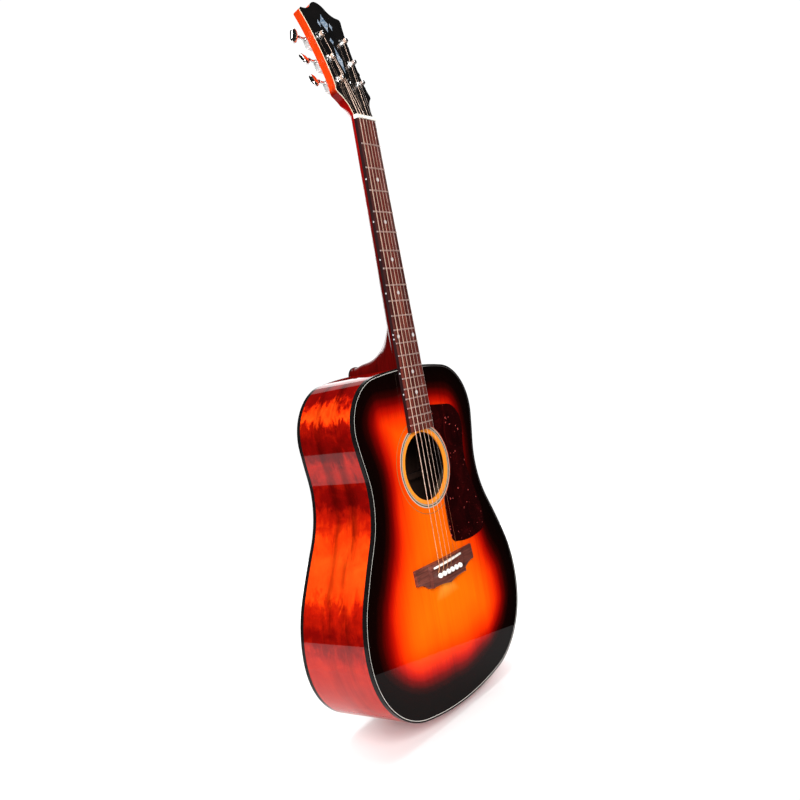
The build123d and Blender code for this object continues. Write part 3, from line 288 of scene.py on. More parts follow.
def fretboard_rosewood():
    """Red-brown rosewood, its two long side faces nearly black, and painted shade darkening its face beside
    them.
    """
    paint = Paint("fretboard_rosewood", (0.15, 0.03, 0.02), 0.5, level=0.12)
    streak = paint.noise((190, 190, 7), 5.0, 0.62, 0.5)
    wood = paint.ramp(streak, [(0.30, (0.040, 0.006, 0.005)), (0.50, (0.125, 0.021, 0.016)),
                               (0.70, (0.23, 0.055, 0.036))])
    pores = paint.noise((1500, 1500, 60), 2.0, 0.6)
    wood = paint.mix("MULTIPLY", 1.0, wood, paint.ramp(pores, [(0.34, 0.35), (0.43, 1.0)]))
    edge_dark = paint.ramp(streak, [(0.3, (0.010, 0.0035, 0.004)), (0.7, (0.030, 0.009, 0.010))])
    # Painted shade darkens the face too beside its long edges, from the body up
    height, body_edge = paint.axis("Z"), NECK.at(0, 0).z
    half = paint.span(height, body_edge, NECK.at(0, NUT_V).z, HALF_AT_JOIN, HALF_AT_NUT)
    share = paint.math("DIVIDE", paint.math("ABSOLUTE", paint.axis("X")), half)
    painted_shade_beside = paint.math("MULTIPLY", paint.span(share, 0.70, 0.88, 0.0, 0.8),
                        paint.span(height, body_edge, NECK.at(0, 0.1).z))
    dark_sides_and_painted_shade = paint.math("MAXIMUM", paint.faces_sideways(0.7), painted_shade_beside)
    paint.colour(paint.mix("MIX", dark_sides_and_painted_shade, wood, edge_dark))
    paint.roughness(pores, 0.60, 0.46)
    paint.bump(pores, 0.00012, 0.4)
    return paint.mat


def bridge_rosewood():
    """The bridge's grain runs across the guitar."""
    paint = Paint("bridge_rosewood", (0.13, 0.035, 0.025), 0.40, coat=0.10, coat_roughness=0.2, level=0.25)
    streak = paint.noise((9, 60, 210), 5.0, 0.62, 0.5)
    wood = paint.ramp(streak, [(0.30, (0.045, 0.012, 0.009)), (0.50, (0.120, 0.032, 0.023)),
                               (0.70, (0.22, 0.062, 0.042))])
    pores = paint.noise((80, 1400, 1400), 2.0, 0.6)
    paint.colour(paint.mix("MULTIPLY", 1.0, wood, paint.ramp(pores, [(0.34, 0.4), (0.43, 1.0)])))
    paint.roughness(pores, 0.5, 0.36)
    paint.bump(pores, 0.00012, 0.5)
    return paint.mat


def bare_wood(name, light, dark, scale):
    paint = Paint(name, light, 0.62)
    grain = paint.noise(scale, 4.0, 0.6, 0.4)
    paint.colour(paint.ramp(grain, [(0.3, dark), (0.7, light)]))
    paint.bump(grain, 0.0002, 0.4)
    return paint.mat


def polished(name, colour, roughness=0.12, spread=0.15, coat=0.6, level=0.5):
    """Polished plastic, bone or lacquer with faint cloudiness and rubbed places."""
    paint = Paint(name, colour, roughness, coat=coat, coat_roughness=0.04, level=level)
    cloud = paint.noise((60, 60, 60), 4.0, 0.6, 0.5)
    low = tuple(c * (1 - spread) for c in colour)
    high = tuple(min(1.0, c * (1 + spread)) for c in colour)
    paint.colour(paint.ramp(cloud, [(0.3, low), (0.7, high)]))
    paint.roughness(paint.noise((300, 300, 300), 3.0, 0.7), roughness * 0.7, roughness * 1.5)
    return paint.mat


def headplate_lacquer():
    """Black front with a cream line round its lower edge."""
    paint = Paint("headplate_black", (0.004, 0.0035, 0.0035), 0.08, coat=1.0, coat_roughness=0.03)
    product = paint.add("ShaderNodeVectorMath", {0: paint.place(), 1: HEAD.z}, operation="DOT_PRODUCT")
    front = HEAD.origin.dot(HEAD.z)
    line = paint.math("LESS_THAN", product.outputs["Value"], front - 0.8 * MM)
    cloud = paint.noise((50, 50, 50), 3.0)
    black = paint.ramp(cloud, [(0.3, (0.003, 0.0026, 0.0026)), (0.7, (0.0055, 0.0045, 0.0045))])
    paint.colour(paint.mix("MIX", line, black, (0.78, 0.66, 0.48)))
    paint.roughness(paint.noise((200, 200, 200)), 0.06, 0.12)
    return paint.mat


def ring_inlay():
    """White, black and white lines in the main ring, and one faint grey-brown line outside it."""
    paint = Paint("ring_inlay", (0.8, 0.77, 0.7), 0.3, coat=1.0, coat_roughness=0.02)
    centred = paint.place(shift=(-HOLE.x, 0, -HOLE.z), scale=(1, 0, 1))
    radius = paint.add("ShaderNodeVectorMath", {0: centred}, operation="LENGTH").outputs["Value"]
    lines = paint.ramp(paint.span(radius, RING_IN, RING_OUT), [
        (0.0, (0.10, 0.04, 0.02)), (0.030, (0.52, 0.42, 0.31)), (0.13, (0.56, 0.46, 0.34)),
        (0.150, (0.020, 0.014, 0.012)), (0.255, (0.020, 0.014, 0.012)), (0.260, (0.60, 0.51, 0.40)),
        (0.375, (0.58, 0.49, 0.38)), (0.380, (0.10, 0.04, 0.02)), (0.6, (0.42, 0.125, 0.02)),
        (1.0, (0.42, 0.125, 0.02))], "CONSTANT")
    paint.colour(lines)
    return paint.mat


def grey_purfling():
    """Thin grey line in the top's edge, darkened up the treble side by painted shade."""
    grey, dark = (0.52, 0.50, 0.46), (0.07, 0.06, 0.06)
    paint = Paint("grey_purfling", grey, 0.22)
    # Painted shade: the upper treble side, whose edge faces away from the light, is painted dark
    treble = paint.span(paint.axis("X"), 0.0, 0.06)
    above = paint.span(paint.axis("Z"), 0.12, 0.20)
    paint.colour(paint.mix("MIX", paint.math("MULTIPLY", treble, above), grey, dark))
    return paint.mat


def pickguard_paint():
    """Near-black celluloid with sparse dark red swirls and small pink flecks."""
    paint = Paint("pickguard_celluloid", (0.02, 0.002, 0.002), 0.18, coat=0.35, level=0.0)
    cloud = paint.noise((26, 26, 22), 4.0, 0.6, 1.6)
    base = paint.ramp(cloud, [(0.40, (0.008, 0.0005, 0.0007)), (0.58, (0.016, 0.0008, 0.0010)),
                              (0.76, (0.040, 0.0018, 0.0020))])
    settings = {"Vector": paint.place((150, 150, 120)), "Scale": 1.0, "Randomness": 1.0}
    spots = paint.add("ShaderNodeTexVoronoi", settings).outputs["Distance"]
    rare = paint.noise((70, 70, 55), 3.0, 0.6, 0.8)
    fleck = paint.math("MULTIPLY", paint.math("LESS_THAN", spots, 0.20), paint.span(rare, 0.52, 0.62))
    paint.colour(paint.mix("MIX", fleck, base, (0.48, 0.070, 0.060)))
    return paint.mat


def pearl(name, blue, pale):
    """Shell inlay: pale, with soft bluish and pinkish clouds."""
    paint = Paint(name, (0.8, 0.8, 0.8), 0.22, coat=0.5)
    cloud = paint.noise((130, 130, 210), 4.0, 0.6, 2.2)
    paint.colour(paint.ramp(cloud, [(0.25, tuple(c * 0.35 for c in blue)), (0.45, blue),
                                    (0.60, pale), (0.72, tuple(c * 0.7 for c in blue))]))
    return paint.mat


def metal(name, colour, roughness, grain=0.0, metallic=1.0):
    """Polished or plated metal with faint wear in its gloss."""
    paint = Paint(name, colour, roughness, metallic=metallic)
    haze = paint.noise((260, 260, 260), 4.0, 0.7, 0.6)
    paint.roughness(haze, roughness * 0.6, roughness * 1.7)
    cloud = paint.noise((90, 90, 90), 3.0, 0.6)
    paint.colour(paint.ramp(cloud, [(0.3, tuple(c * 0.88 for c in colour)), (0.7, colour)]))
    if grain:
        paint.bump(paint.noise((900, 900, 900), 2.0), grain, 0.3)
    return paint.mat


def fret_wire():
    """Nickel wire, dulled along the crown, with a painted highlight making the filed ends bright."""
    paint = Paint("fret_wire", (0.6, 0.45, 0.40), 0.32, metallic=0.55)
    haze = paint.noise((260, 260, 260), 4.0, 0.7, 0.6)
    crown = paint.ramp(haze, [(0.3, (0.42, 0.27, 0.235)), (0.7, (0.56, 0.38, 0.33))])
    # Painted highlight: the faces at the wire's ends are painted near white
    paint.colour(paint.mix("MIX", paint.faces_sideways(0.6), crown, (0.95, 0.90, 0.88)))
    paint.roughness(haze, 0.24, 0.42)
    return paint.mat


def painted_reflection_below_hole(paint):
    """0 above the soundhole's lower edge and 1 below it, where a painted reflection of the top makes the
    strings warmer.
    """
    return paint.span(paint.axis("Z"), HOLE.z - 35 * MM, HOLE.z - 65 * MM)


def wound_bronze():
    """Wound string: the ridges of the winding show as fine bands across it, with painted shade in the grooves
    between them and a painted reflection of the top below the soundhole.
    """
    colour, pitch = (0.92, 0.66, 0.52), 0.42 * MM
    paint = Paint("wound_bronze", colour, 0.28, metallic=0.75)
    along = paint.math("MULTIPLY", paint.axis("Z"), 2 * math.pi / pitch)
    ridge = paint.span(paint.math("SINE", along), -1.0, 1.0)
    # Painted shade darkens the grooves between the winding's ridges
    bronze = paint.ramp(ridge, [(0.0, tuple(c * 0.45 for c in colour)), (0.6, colour)])
    # Painted reflection of the orange top warms the string below the soundhole
    paint.colour(paint.mix("MULTIPLY", painted_reflection_below_hole(paint), bronze, (0.95, 0.58, 0.34)))
    paint.bump(ridge, 0.1 * MM, 0.8)
    return paint.mat


def plain_steel_string():
    """Plain string: bright steel, with a painted reflection of the top making it brown over the soundboard.
    """
    paint = Paint("plain_string", (0.66, 0.53, 0.48), 0.26, metallic=0.75)
    haze = paint.noise((260, 260, 260), 4.0, 0.7, 0.6)
    paint.roughness(haze, 0.16, 0.44)
    # Painted reflection of the orange top turns the string brown below the soundhole
    paint.colour(paint.mix("MIX", painted_reflection_below_hole(paint), (0.64, 0.51, 0.46), (0.34, 0.14, 0.07)))
    return paint.mat


BLACK = polished("black_celluloid", (0.006, 0.005, 0.005), 0.16, 0.2, coat=0.1, level=0.05)
BONE = polished("polished_bone", (0.93, 0.90, 0.83), 0.24, 0.05, coat=0.2)
CHROME = metal("chrome", (0.84, 0.83, 0.82), 0.09)
SATIN = metal("cast_chrome", (0.92, 0.91, 0.90), 0.45, metallic=0.6)
STEEL = metal("plain_steel", (0.52, 0.52, 0.54), 0.30, 0.00005)
WOUND = wound_bronze()
PLAIN = plain_steel_string()
MAHOGANY = amber_mahogany()
# Painted shade: the spruce and mahogany inside the body are painted far darker than bare wood, for the dark
# inside
SPRUCE_IN_PAINTED_SHADE = bare_wood("bare_spruce", (0.060, 0.040, 0.022), (0.036, 0.023, 0.012), (300, 300, 12))
MAHOGANY_IN_PAINTED_SHADE = bare_wood("bare_mahogany", (0.040, 0.017, 0.010), (0.024, 0.010, 0.006), (160, 160, 14))
FINISHES = {
    "rosette": ring_inlay(),
    "top_purfling": grey_purfling(),
    "top_binding": BLACK, "back_binding": BLACK, "heel_cap": BLACK,
    "side_bass": MAHOGANY, "side_treble": MAHOGANY, "back": back_mahogany(),
    "neck_block": MAHOGANY_IN_PAINTED_SHADE, "tail_block": MAHOGANY_IN_PAINTED_SHADE, "top_lining": MAHOGANY_IN_PAINTED_SHADE,
    "back_lining": MAHOGANY_IN_PAINTED_SHADE, "back_braces": MAHOGANY_IN_PAINTED_SHADE,
    "x_brace": SPRUCE_IN_PAINTED_SHADE, "top_braces": SPRUCE_IN_PAINTED_SHADE, "back_centre_strip": SPRUCE_IN_PAINTED_SHADE,
    "bridge_plate": bare_wood("bare_maple", (0.62, 0.45, 0.28), (0.52, 0.36, 0.21), (14, 200, 200)),
    "pickguard": pickguard_paint(), "bridge": bridge_rosewood(), "saddle": BONE, "nut": BONE,
    "neck": neck_mahogany(),
    "fretboard": fretboard_rosewood(),
    "fret_markers": pearl("pearl_dots", (0.70, 0.74, 0.76), (0.84, 0.81, 0.82)), "frets": fret_wire(),
    "truss_rod": STEEL, "truss_rod_nut": metal("rod_brass", (0.66, 0.46, 0.20), 0.22),
    "headstock_inlay": pearl("headstock_pearl", (0.10, 0.17, 0.26), (0.46, 0.50, 0.55)),
    "headplate": headplate_lacquer(),
    "truss_rod_cover": polished("cover_black", (0.006, 0.006, 0.006), 0.12, 0.2),
    "tuner_housings": SATIN, "tuner_bushings": CHROME, "small_screws": CHROME,
    "strap_button": CHROME, "strap_button_screw": CHROME,
}
PIN_WHITE = polished("pin_white", (0.90, 0.88, 0.82), 0.18, 0.05)
for number in range(1, 7):
    FINISHES[f"bridge_pin_{number}"] = PIN_WHITE
    FINISHES[f"string_{number}"] = PLAIN if number < 3 else WOUND
    FINISHES[f"tuner_post_{number}"] = CHROME
    FINISHES[f"tuner_button_{number}"] = CHROME
for name, finish in FINISHES.items():
    nodes[name].data.materials.clear()
    nodes[name].data.materials.append(finish)


# ---------------------------------------------------------------- unfinished wood inside the body, darkened as painted shade
def outline_tree(names):
    verts, faces = [], []
    for name in names:
        mesh = nodes[name].data
        faces += [[k + len(verts) for k in polygon.vertices] for polygon in mesh.polygons]
        verts += [v.co.copy() for v in mesh.vertices]
    return BVHTree.FromPolygons(verts, faces)


def bare_inside():
    """Gives the faces that look into the body the bare wood in painted shade: those of the sides that face
    another part of the sides, and those of the back that face the soundboard."""
    around = outline_tree(("side_bass", "side_treble"))
    for name in ("side_bass", "side_treble", "back"):
        mesh = nodes[name].data
        mesh.materials.append(MAHOGANY_IN_PAINTED_SHADE)
        for polygon in mesh.polygons:
            if name == "back":
                inside = polygon.normal.y < -0.5
            else:
                start = polygon.center + polygon.normal * MM
                flat = abs(polygon.normal.y) > 0.5
                inside = not flat and around.ray_cast(start, polygon.normal, 0.6)[0] is not None
            if inside:
                polygon.material_index = 1


bare_inside()

# ---------------------------------------------------------------- mesh helpers
HARD_ANGLE = math.radians(28)           # edges sharper than this are rounded over


def add_object(name, mesh, body, material):
    piece = bpy.data.objects.new(name, mesh)
    scene.collection.objects.link(piece)
    mesh.materials.clear()
    mesh.materials.append(material)
    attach(piece, body)
    return piece


def copied(name):
    """A welded bmesh of a CAD node's solid."""
    work = bmesh.new()
    work.from_mesh(nodes[name].data)
    bmesh.ops.remove_doubles(work, verts=work.verts, dist=1e-6)
    return work


def smooth_mesh(mesh, degrees=30):
    for attribute in ("custom_normal", "sharp_edge", "sharp_face"):
        if attribute in mesh.attributes:
            mesh.attributes.remove(mesh.attributes[attribute])
    mesh.shade_smooth()
    mesh.set_sharp_from_angle(angle=math.radians(degrees))


def body_of(name):
    bodies = frame["record"]["behaviour"]["bodies"]
    return next(body for body, members in bodies.items() if name in members)


def softened(name, width, segments=2):
    """Replaces a CAD node by its own shape with the hard edges rounded over."""
    work = copied(name)
    bmesh.ops.dissolve_limit(work, angle_limit=math.radians(0.4), verts=work.verts, edges=work.edges)
    hard = [e for e in work.edges if len(e.link_faces) == 2 and e.calc_face_angle(0) > HARD_ANGLE]
    bmesh.ops.bevel(work, geom=hard, offset=width, segments=segments, profile=0.5, affect="EDGES",
                    clamp_overlap=True, loop_slide=True)
    mesh = bpy.data.meshes.new(name + "_shape")
    work.to_mesh(mesh)
    work.free()
    smooth_mesh(mesh, 40)
    piece = add_object(name + "_finished", mesh, body_of(name), FINISHES[name])
    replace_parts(piece, name)


def circle(centre, first, second, radius, sides):
    """Points of a circle that starts at the first direction and turns towards the second."""
    angles = [2 * math.pi * k / sides for k in range(sides)]
    return [centre + (first * math.cos(angle) + second * math.sin(angle)) * radius for angle in angles]


def lathe(work, profile, origin, along, turn_from, sides):
    """Turns a profile of (distance along, radius) pairs about an axis, into the bmesh."""
    third = along.cross(turn_from)
    rings = []
    for distance, radius in profile:
        centre = origin + along * distance
        if radius < 1e-6:
            rings.append([work.verts.new(centre)])
        else:
            rings.append([work.verts.new(p) for p in circle(centre, turn_from, third, radius, sides)])
    join_rings(work, rings)


def join_rings(work, rings):
    """Faces between each ring and the next, and over both ends."""
    for low, high in zip(rings, rings[1:]):
        count = max(len(low), len(high))
        for k in range(count):
            corners = [low[k % len(low)], low[(k + 1) % len(low)],
                       high[(k + 1) % len(high)], high[k % len(high)]]
            corners = [c for n, c in enumerate(corners) if c not in corners[:n]]
            if len(corners) > 2:
                work.faces.new(corners)
    for ring in (rings[0], rings[-1]):
        if len(ring) > 2:
            work.faces.new(ring)


def tube(work, points, radius, sides=12):
    """A closed tube along points, its sections turned as little as possible."""
    rings = []
    normal = None
    for k, point in enumerate(points):
        ahead = points[min(k + 1, len(points) - 1)]
        behind = points[max(k - 1, 0)]
        tangent = (ahead - behind).normalized()
        if normal is None:
            normal = tangent.orthogonal().normalized()
        normal = (normal - tangent * normal.dot(tangent)).normalized()
        ring = circle(point, normal, tangent.cross(normal), radius, sides)
        rings.append([work.verts.new(p) for p in ring])
    join_rings(work, rings)


def finish_mesh(name, work, degrees=35):
    bmesh.ops.recalc_face_normals(work, faces=work.faces)
    mesh = bpy.data.meshes.new(name)
    work.to_mesh(mesh)
    work.free()
    smooth_mesh(mesh, degrees)
    return mesh


# ---------------------------------------------------------------- soundboard with its sunburst
GRID, ROW_STEP = 4.0 * MM, 0.866            # rows of a triangular grid
INNER_R, BRIGHTEST = 58.5 * MM, 0.175       # inside the rosette the wood is palest
TRIM = 3.2 * MM                 # width of the binding and purfling outside the board
# How much wider the dark border is all round, along the treble side and at the tail
RIM_DARK, TREBLE_DARK, TAIL_DARK = 2.0 * MM, 7.5 * MM, 25.0 * MM
TREBLE_FULL, TAIL_FADE = 0.12, 0.125        # X where the treble side is reached, height where the tail ends
# The border is narrower at the treble waist: by how much, at what height and over what height
WAIST_PALE, WAIST_UP, WAIST_SPREAD = 17.0 * MM, 0.375, 0.075
RINGS_OUTSIDE, PINS_OUTSIDE = 75 * MM, 60 * MM      # radii that hold the rings' and the pin holes' edges
ON_FACE = 0.1 * MM


def fine_soundboard():
    """The CAD soundboard with its front face divided finely, so that every point knows its distance from
    the body's edge."""
    work = copied("soundboard")
    work.normal_update()
    front = [f for f in work.faces if f.normal.y < -0.99 and abs(f.calc_center_median().y - FACE_Y) < 1e-5]
    chosen = set(front)
    around_front = {e for f in front for e in f.edges}
    rim = [e for e in around_front if len([f for f in e.link_faces if f in chosen]) == 1]
    corners = [v.co.copy() for v in work.verts]
    surface = BVHTree.FromPolygons(corners, [[v.index for v in f.verts] for f in front])
    rim_verts = list({v for e in rim for v in e.verts})
    number = {v: k for k, v in enumerate(rim_verts)}
    outline = [[(v.co.x, v.co.z) for v in e.verts] for e in rim]
    flat = [Vector((v.co.x, v.co.z)) for v in rim_verts]
    rim_array = np.array([[p.x, p.y] for p in flat])
    low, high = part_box("soundboard")
    row = 0
    z = low.z + GRID
    while z < high.z:
        x = low.x + GRID * (1.0 + 0.5 * (row % 2))
        while x < high.x:
            found = surface.find_nearest(Vector((x, FACE_Y, z)))
            near = np.min(np.hypot(rim_array[:, 0] - x, rim_array[:, 1] - z))
            if found[3] < ON_FACE and near > 0.45 * GRID:
                flat.append(Vector((x, z)))
            x += GRID
        z += GRID * ROW_STEP
        row += 1
    edges = [(number[e.verts[0]], number[e.verts[1]]) for e in rim]
    places, _, faces, origins, _, _ = delaunay_2d_cdt(flat, edges, [], 1, 1e-9)
    bmesh.ops.delete(work, geom=front, context="FACES_ONLY")
    verts = []
    for place, origin in zip(places, origins):
        if origin and origin[0] < len(rim_verts):
            verts.append(rim_verts[origin[0]])
        else:
            verts.append(work.verts.new((place.x, FACE_Y, place.y)))
    for face in faces:
        middle = sum((verts[k].co for k in face), Vector()) / 3
        if surface.find_nearest(middle)[3] < ON_FACE:
            work.faces.new([verts[k] for k in face])
    loose = [v for v in work.verts if not v.link_faces]
    bmesh.ops.delete(work, geom=loose, context="VERTS")
    outline = [edge for edge in outline if all(is_outer(*point) for point in edge)]
    return finish_mesh("soundboard_shape", work, 25), np.array(outline)


def is_outer(x, z):
    """Whether a point of the soundboard's edges is away from the soundhole, the rings and the pin holes."""
    return math.hypot(x - HOLE.x, z - HOLE.z) > RINGS_OUTSIDE and math.hypot(x, z - SADDLE_UP) > PINS_OUTSIDE


def edge_distances(mesh, outline):
    """Distance of each vertex from the outer edge of the body. A place whose dark border is wider counts as
    nearer the edge, and one whose border is narrower as farther from it."""
    starts = outline[:, 0]
    across = outline[:, 1] - starts
    lengths = np.maximum((across ** 2).sum(1), 1e-12)
    values = []
    for v in mesh.vertices:
        point = np.array((v.co.x, v.co.z))
        share = np.clip(((point - starts) * across).sum(1) / lengths, 0, 1)
        away = np.hypot(*(point - starts - across * share[:, None]).T).min() + TRIM
        tail = min(1.0, max(0.0, (TAIL_FADE - v.co.z) / TAIL_FADE))
        treble = min(1.0, max(0.0, v.co.x / TREBLE_FULL))
        waist = treble * math.exp(-((v.co.z - WAIST_UP) / WAIST_SPREAD) ** 2)
        away += WAIST_PALE * waist - RIM_DARK - TREBLE_DARK * treble - TAIL_DARK * tail
        inner = np.hypot(point[0] - HOLE.x, point[1] - HOLE.z) < INNER_R
        values.append(BRIGHTEST if inner else away)
    return values


board, board_outline = fine_soundboard()
board.attributes.new("edge", "FLOAT", "POINT")
board.attributes["edge"].data.foreach_set("value", edge_distances(board, board_outline))
top = add_object("soundboard_finished", board, "guitar", sunburst())
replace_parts(top, "soundboard")

# ---------------------------------------------------------------- strings and their turns on the posts
# From here on the named lengths are in millimetres. String 0 is the bass E and string 5 the treble E.
STRING_D = [1.35, 1.07, 0.81, 0.61, 0.42, 0.32]
PIN_GAP, NUT_GAP = 10.8, 7.3            # from string to string at the bridge pins and at the nut
PIN_V, BALL_H, PIN_H = -16.1, -7.0, 8.1     # pins below the saddle line, and the string's ends in them
SADDLE_V, SADDLE_SLANT, SADDLE_H = -3.4, 0.033, 13.0
NUT_FRONT, NUT_CLEAR = 0.6, 0.35        # where a string leaves the nut, and its height over the frets' line
POSTS = [(23.2, 55), (24.2, 90), (26.2, 127)]
POST_R, WRAP_H, EYE_H = 3.0, 4.4, 8.2
WRAP_CLEAR = 0.05
MOST_TURNS, TAIL_BEND, TAIL_OUT = 5.5, 1.0, 1.2
FB_T, FRET_H, FB_RADIUS = 6.5, 1.1, 305.0
BALL = [(-1.0, 0.9), (-0.9, 1.5), (-0.5, 1.7), (0, 1.4), (0.5, 1.7), (0.9, 1.5), (1.0, 0.9)]


def sag(half):
    """How far the fretboard's arch drops at a distance from its middle."""
    return FB_RADIUS - math.sqrt(FB_RADIUS ** 2 - half ** 2)


def post_place(i):
    """Post of string i: x, distance above the nut, and the side it stands on."""
    side = -1 if i < 3 else 1
    x, s = POSTS[(0, 1, 2, 2, 1, 0)[i]]
    return side * x, s, side


def rounded(points, radii):
    """Points along straight runs joined by arcs."""
    path = [points[0]]
    for k, radius in enumerate(radii):
        before, corner, after = points[k], points[k + 1], points[k + 2]
        a, b = (before - corner).normalized(), (after - corner).normalized()
        half = a.angle(b) / 2
        reach = radius / math.tan(half)
        bisector = (a + b).normalized()
        centre = corner + bisector * (radius / math.sin(half))
        start, end = corner + a * reach - centre, corner + b * reach - centre
        turn = start.angle(end)
        spin = start.cross(end).normalized()
        steps = max(2, int(math.degrees(turn) / 4))
        for n in range(steps + 1):
            path.append(centre + Matrix.Rotation(turn * n / steps, 3, spin) @ start)
    path.append(points[-1])
    return path


def string_piece(i):
    """String from its ball end over the saddle and the nut to its post."""
    d = STRING_D[i]
    x_pin, x_nut = (i - 2.5) * PIN_GAP, (i - 2.5) * NUT_GAP
    x_post, s_post, side = post_place(i)
    h_saddle = SADDLE_H - sag(abs(x_pin)) - (0.3 if i > 2 else 0)
    h_nut = FB_T + FRET_H + NUT_CLEAR + d / 2 - sag(abs(x_nut))
    reach = POST_R + d / 2 + WRAP_CLEAR
    points = [FACE.at(x_pin * MM, PIN_V * MM, BALL_H * MM), FACE.at(x_pin * MM, PIN_V * MM, PIN_H * MM),
              FACE.at(x_pin * 0.985 * MM, (SADDLE_V + SADDLE_SLANT * x_pin) * MM, h_saddle * MM),
              NECK.at(x_nut * MM, NUT_V + NUT_FRONT * MM, h_nut * MM),
              HEAD.at((x_post - side * reach) * MM, s_post * MM, WRAP_H * MM)]
    work = bmesh.new()
    tube(work, rounded(points, [1.8 * MM, 3.0 * MM, 6.0 * MM]), d / 2 * MM)
    ball = points[0] + Vector((0, 0.9, 0.9)) * MM
    lathe(work, [(a * MM, r * MM) for a, r in BALL], ball, Vector((1, 0, 0)), Vector((0, 0, 1)), 20)
    name = f"string_{6 - i}"
    piece = add_object(name + "_wire", finish_mesh(name, work, 40), "guitar", FINISHES[name])
    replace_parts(piece, name)


def winding(i):
    """Turns of string round a post, ending in a short tail through its eye."""
    number = 6 - i
    d = STRING_D[i]
    x, s, side = post_place(i)
    reach = POST_R + d / 2 + WRAP_CLEAR
    turns = min(math.floor((EYE_H - WRAP_H) / d * 2) / 2, MOST_TURNS)
    first = 0.0 if side < 0 else math.pi
    last = first - side * 2 * math.pi * turns
    stop = last + side * TAIL_BEND / reach
    places = []
    steps = int(turns * 40)
    for n in range(steps + 1):
        angle = first + (stop - first) * n / steps
        rise = WRAP_H + (EYE_H - WRAP_H) * n / steps
        places.append((x + reach * math.cos(angle), s + reach * math.sin(angle), rise))
    out = math.cos(last)
    way = -side * out
    for n in range(1, 9):
        angle = math.pi / 2 * n / 8
        inward = reach - TAIL_BEND + TAIL_BEND * math.cos(angle)
        places.append((x + out * inward, s + way * TAIL_BEND * (math.sin(angle) - 1), EYE_H))
    places.append((x - out * (POST_R + TAIL_OUT), s, EYE_H))
    work = bmesh.new()
    tube(work, [HEAD.at(a * MM, b * MM, c * MM) for a, b, c in places], d / 2 * MM, 10)
    name = f"string_{number}"
    add_object(f"string_turns_{number}", finish_mesh(name + "_turns", work, 40), f"post_{number}",
               FINISHES[name])


def post_alone(i):
    """The CAD post and gear without its closed rings, which the wound wire takes the place of."""
    name = f"tuner_post_{6 - i}"
    x, s, _ = post_place(i)
    foot = HEAD.at(x * MM, s * MM)
    work = copied(name)
    rings = []
    for v in work.verts:
        height = (v.co - foot).dot(HEAD.z)
        if height > 2 * MM and (v.co - foot - HEAD.z * height).length > (POST_R + 0.03) * MM:
            rings.append(v)
    bmesh.ops.delete(work, geom=rings, context="VERTS")
    mesh = finish_mesh(name + "_bare", work, 30)
    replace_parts(add_object(name + "_bare", mesh, body_of(name), CHROME), name)


for i in range(6):
    string_piece(i)
    winding(i)
    post_alone(i)

# ---------------------------------------------------------------- tuner buttons
BUTTON_TURN = [6, 16, -28, -14, 18, -22]        # degrees about the shaft
TEETH, PITCH, WORM_R = 14, 2.0, 2.2
CENTRES, AXIS_H = TEETH * PITCH / (2 * math.pi) + WORM_R, -18.6     # worm axis from the post, and its height
SHAFT_OUT = 33.0
# Worm, collar and flared shaft: distance out from the worm's middle, and radius
SHAFT = [(-5.6, 0.0), (-5.6, 1.2), (-4.0, 1.2), (-4.0, 1.5), (4.0, 1.5), (4.0, 1.9), (9.4, 1.9), (9.6, 2.6),
         (10.2, 2.9), (10.8, 2.6), (11.1, 1.9), (19.5, 1.85), (21.0, 2.2), (22.4, 3.0), (23.2, 3.15),
         (24.0, 2.9), (25.2, 2.6), (28.0, 2.4), (28.4, 0.0)]
KNOB_OUT, KNOB_WIDE, KNOB_HALF_T, KNOB_MIDDLE_T = 6.8, 10.0, 3.1, 2.75
KNOB_HOLLOW = 0.9


def knob(work, middle, out, wide, flat):
    """Kidney-shaped button: a crowned lens, hollowed a little on the side away from the shaft."""
    sides, rings = 56, 9
    loops = []
    for r in range(2 * rings + 1):
        phi = math.pi * r / (2 * rings) - math.pi / 2
        if r in (0, 2 * rings):
            loops.append([work.verts.new(middle + flat * math.copysign(KNOB_MIDDLE_T * MM, phi))])
            continue
        swell = abs(math.cos(phi)) ** 0.42
        height = KNOB_HALF_T * MM * math.copysign(abs(math.sin(phi)) ** 0.8, phi)
        height *= 1.0 - 0.11 * (1 - swell)
        loop = []
        for k in range(sides):
            angle = 2 * math.pi * k / sides
            c, q = math.cos(angle), math.sin(angle)
            a = KNOB_OUT * math.copysign(abs(c) ** 0.90, c)
            b = KNOB_WIDE * math.copysign(abs(q) ** 0.86, q)
            a -= KNOB_HOLLOW * max(0.0, c) * (1 - abs(q)) ** 2
            loop.append(work.verts.new(middle + out * a * MM * swell + wide * b * MM * swell + flat * height))
        loops.append(loop)
    join_rings(work, loops)


def tuner_button(i):
    x, s, side = post_place(i)
    out = Vector((side, 0, 0))
    axis = HEAD.at(x * MM, (s + CENTRES) * MM, AXIS_H * MM)
    tilt = math.radians(BUTTON_TURN[i])
    flat = HEAD.z * math.cos(tilt) + HEAD.y * math.sin(tilt)
    wide = out.cross(flat)
    work = bmesh.new()
    lathe(work, [(a * MM, r * MM) for a, r in SHAFT], axis, out, flat, 36)
    knob(work, axis + out * SHAFT_OUT * MM, out, wide, flat)
    name = f"tuner_button_{6 - i}"
    mesh = finish_mesh(name, work, 40)
    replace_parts(add_object(name + "_finished", mesh, body_of(name), CHROME), name)


for i in range(6):
    tuner_button(i)

# ---------------------------------------------------------------- rounded edges
softened("bridge", 0.7 * MM, 3)
softened("saddle", 0.4 * MM, 2)
softened("nut", 0.35 * MM, 2)
softened("fretboard", 0.35 * MM, 2)
softened("pickguard", 0.3 * MM, 2)
softened("truss_rod_cover", 0.2 * MM, 2)
softened("tuner_bushings", 0.25 * MM, 2)

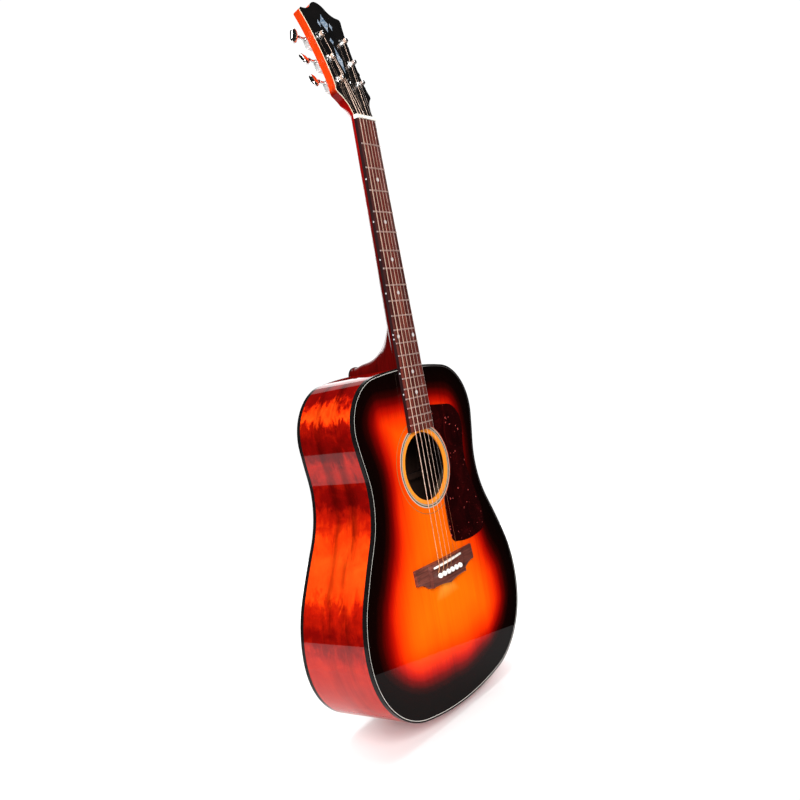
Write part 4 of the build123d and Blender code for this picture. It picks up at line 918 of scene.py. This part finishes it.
# ---------------------------------------------------------------- studio
def sky():
    """A world that lights softly and looks white, but is dark in the lacquer's mirror."""
    world = bpy.data.worlds.new("studio")
    scene.world = world
    world.use_nodes = True
    tree = world.node_tree
    ray = tree.nodes.new("ShaderNodeLightPath").outputs
    glow = tree.nodes["Background"].outputs[0]
    tree.nodes["Background"].inputs["Strength"].default_value = 0.32
    for kind, strength in (("Is Glossy Ray", 0.015), ("Is Camera Ray", 1.05)):
        other = tree.nodes.new("ShaderNodeBackground")
        other.inputs["Color"].default_value = (1, 1, 1, 1)
        other.inputs["Strength"].default_value = strength
        mix = tree.nodes.new("ShaderNodeMixShader")
        tree.links.new(ray[kind], mix.inputs[0])
        tree.links.new(glow, mix.inputs[1])
        tree.links.new(other.outputs[0], mix.inputs[2])
        glow = mix.outputs[0]
    tree.nodes["Background"].inputs["Color"].default_value = (1.0, 0.98, 0.96, 1)
    tree.links.new(glow, tree.nodes["World Output"].inputs["Surface"])
    scene.view_settings.view_transform = "Standard"


def pale_floor():
    """The floor's front edge sets where its reflection ends in the lacquer of the side and the top."""
    corners = [(-0.95, -0.78, 0), (1.2, 0.21, 0), (1.2, 1.0, 0), (-0.95, 1.0, 0)]
    sheet = bpy.data.meshes.new("floor")
    sheet.from_pydata(corners, [], [(0, 1, 2, 3)])
    floor = bpy.data.objects.new("floor", sheet)
    scene.collection.objects.link(floor)
    paint = Paint("floor_paper", (0.93, 0.93, 0.93), 0.9, level=0.1)
    paint.colour(paint.ramp(paint.noise((4, 4, 4)), [(0.3, 0.915), (0.7, 0.94)]))
    floor.data.materials.append(paint.mat)


def softbox(name, place, target, size, watts):
    data = bpy.data.lights.new(name, "AREA")
    data.shape = "RECTANGLE"
    data.size, data.size_y = size
    data.energy = watts
    light = bpy.data.objects.new(name, data)
    light.location = place
    light.rotation_euler = (Vector(target) - Vector(place)).to_track_quat("-Z", "Y").to_euler()
    light.visible_camera = False
    scene.collection.objects.link(light)


def camera():
    data = bpy.data.cameras.new("camera")
    data.sensor_width = 36
    data.lens = 37.83
    data.shift_x = 0.0197
    data.shift_y = 0.0265
    data.clip_start = 0.05
    eye = bpy.data.objects.new("camera", data)
    scene.collection.objects.link(eye)
    place = Vector((-1.0055, -0.7914, 0.5205))
    target = Vector((-0.0224, -0.0228, 0.4482))
    back = (place - target).normalized()
    up = Vector((0.1538, -0.1043, 0.9826))
    right = up.cross(back).normalized()
    up = back.cross(right)
    turn = Matrix((right, up, back)).transposed().to_4x4()
    eye.matrix_world = Matrix.Translation(place) @ turn
    scene.camera = eye


sky()
pale_floor()
middle = (0, 0, 0.45)
softbox("key", (-1.5, -2.2, 1.7), middle, (1.6, 1.6), 95)
softbox("left", (-2.6, -0.6, 1.1), middle, (1.0, 1.4), 40)
softbox("shoulder", (1.35, 1.55, 1.25), (0, 0, 0.5), (1.7, 0.7), 11)
softbox("shoulder_fade", (1.1, 1.6, 1.85), (0, 0, 0.5), (1.7, 0.6), 3)
softbox("back", (0.9, 2.5, 0.8), middle, (1.4, 1.2), 45)
softbox("above", (0.3, 0.3, 2.6), (0.2, 0.4, 0), (2.2, 1.6), 45)
camera()
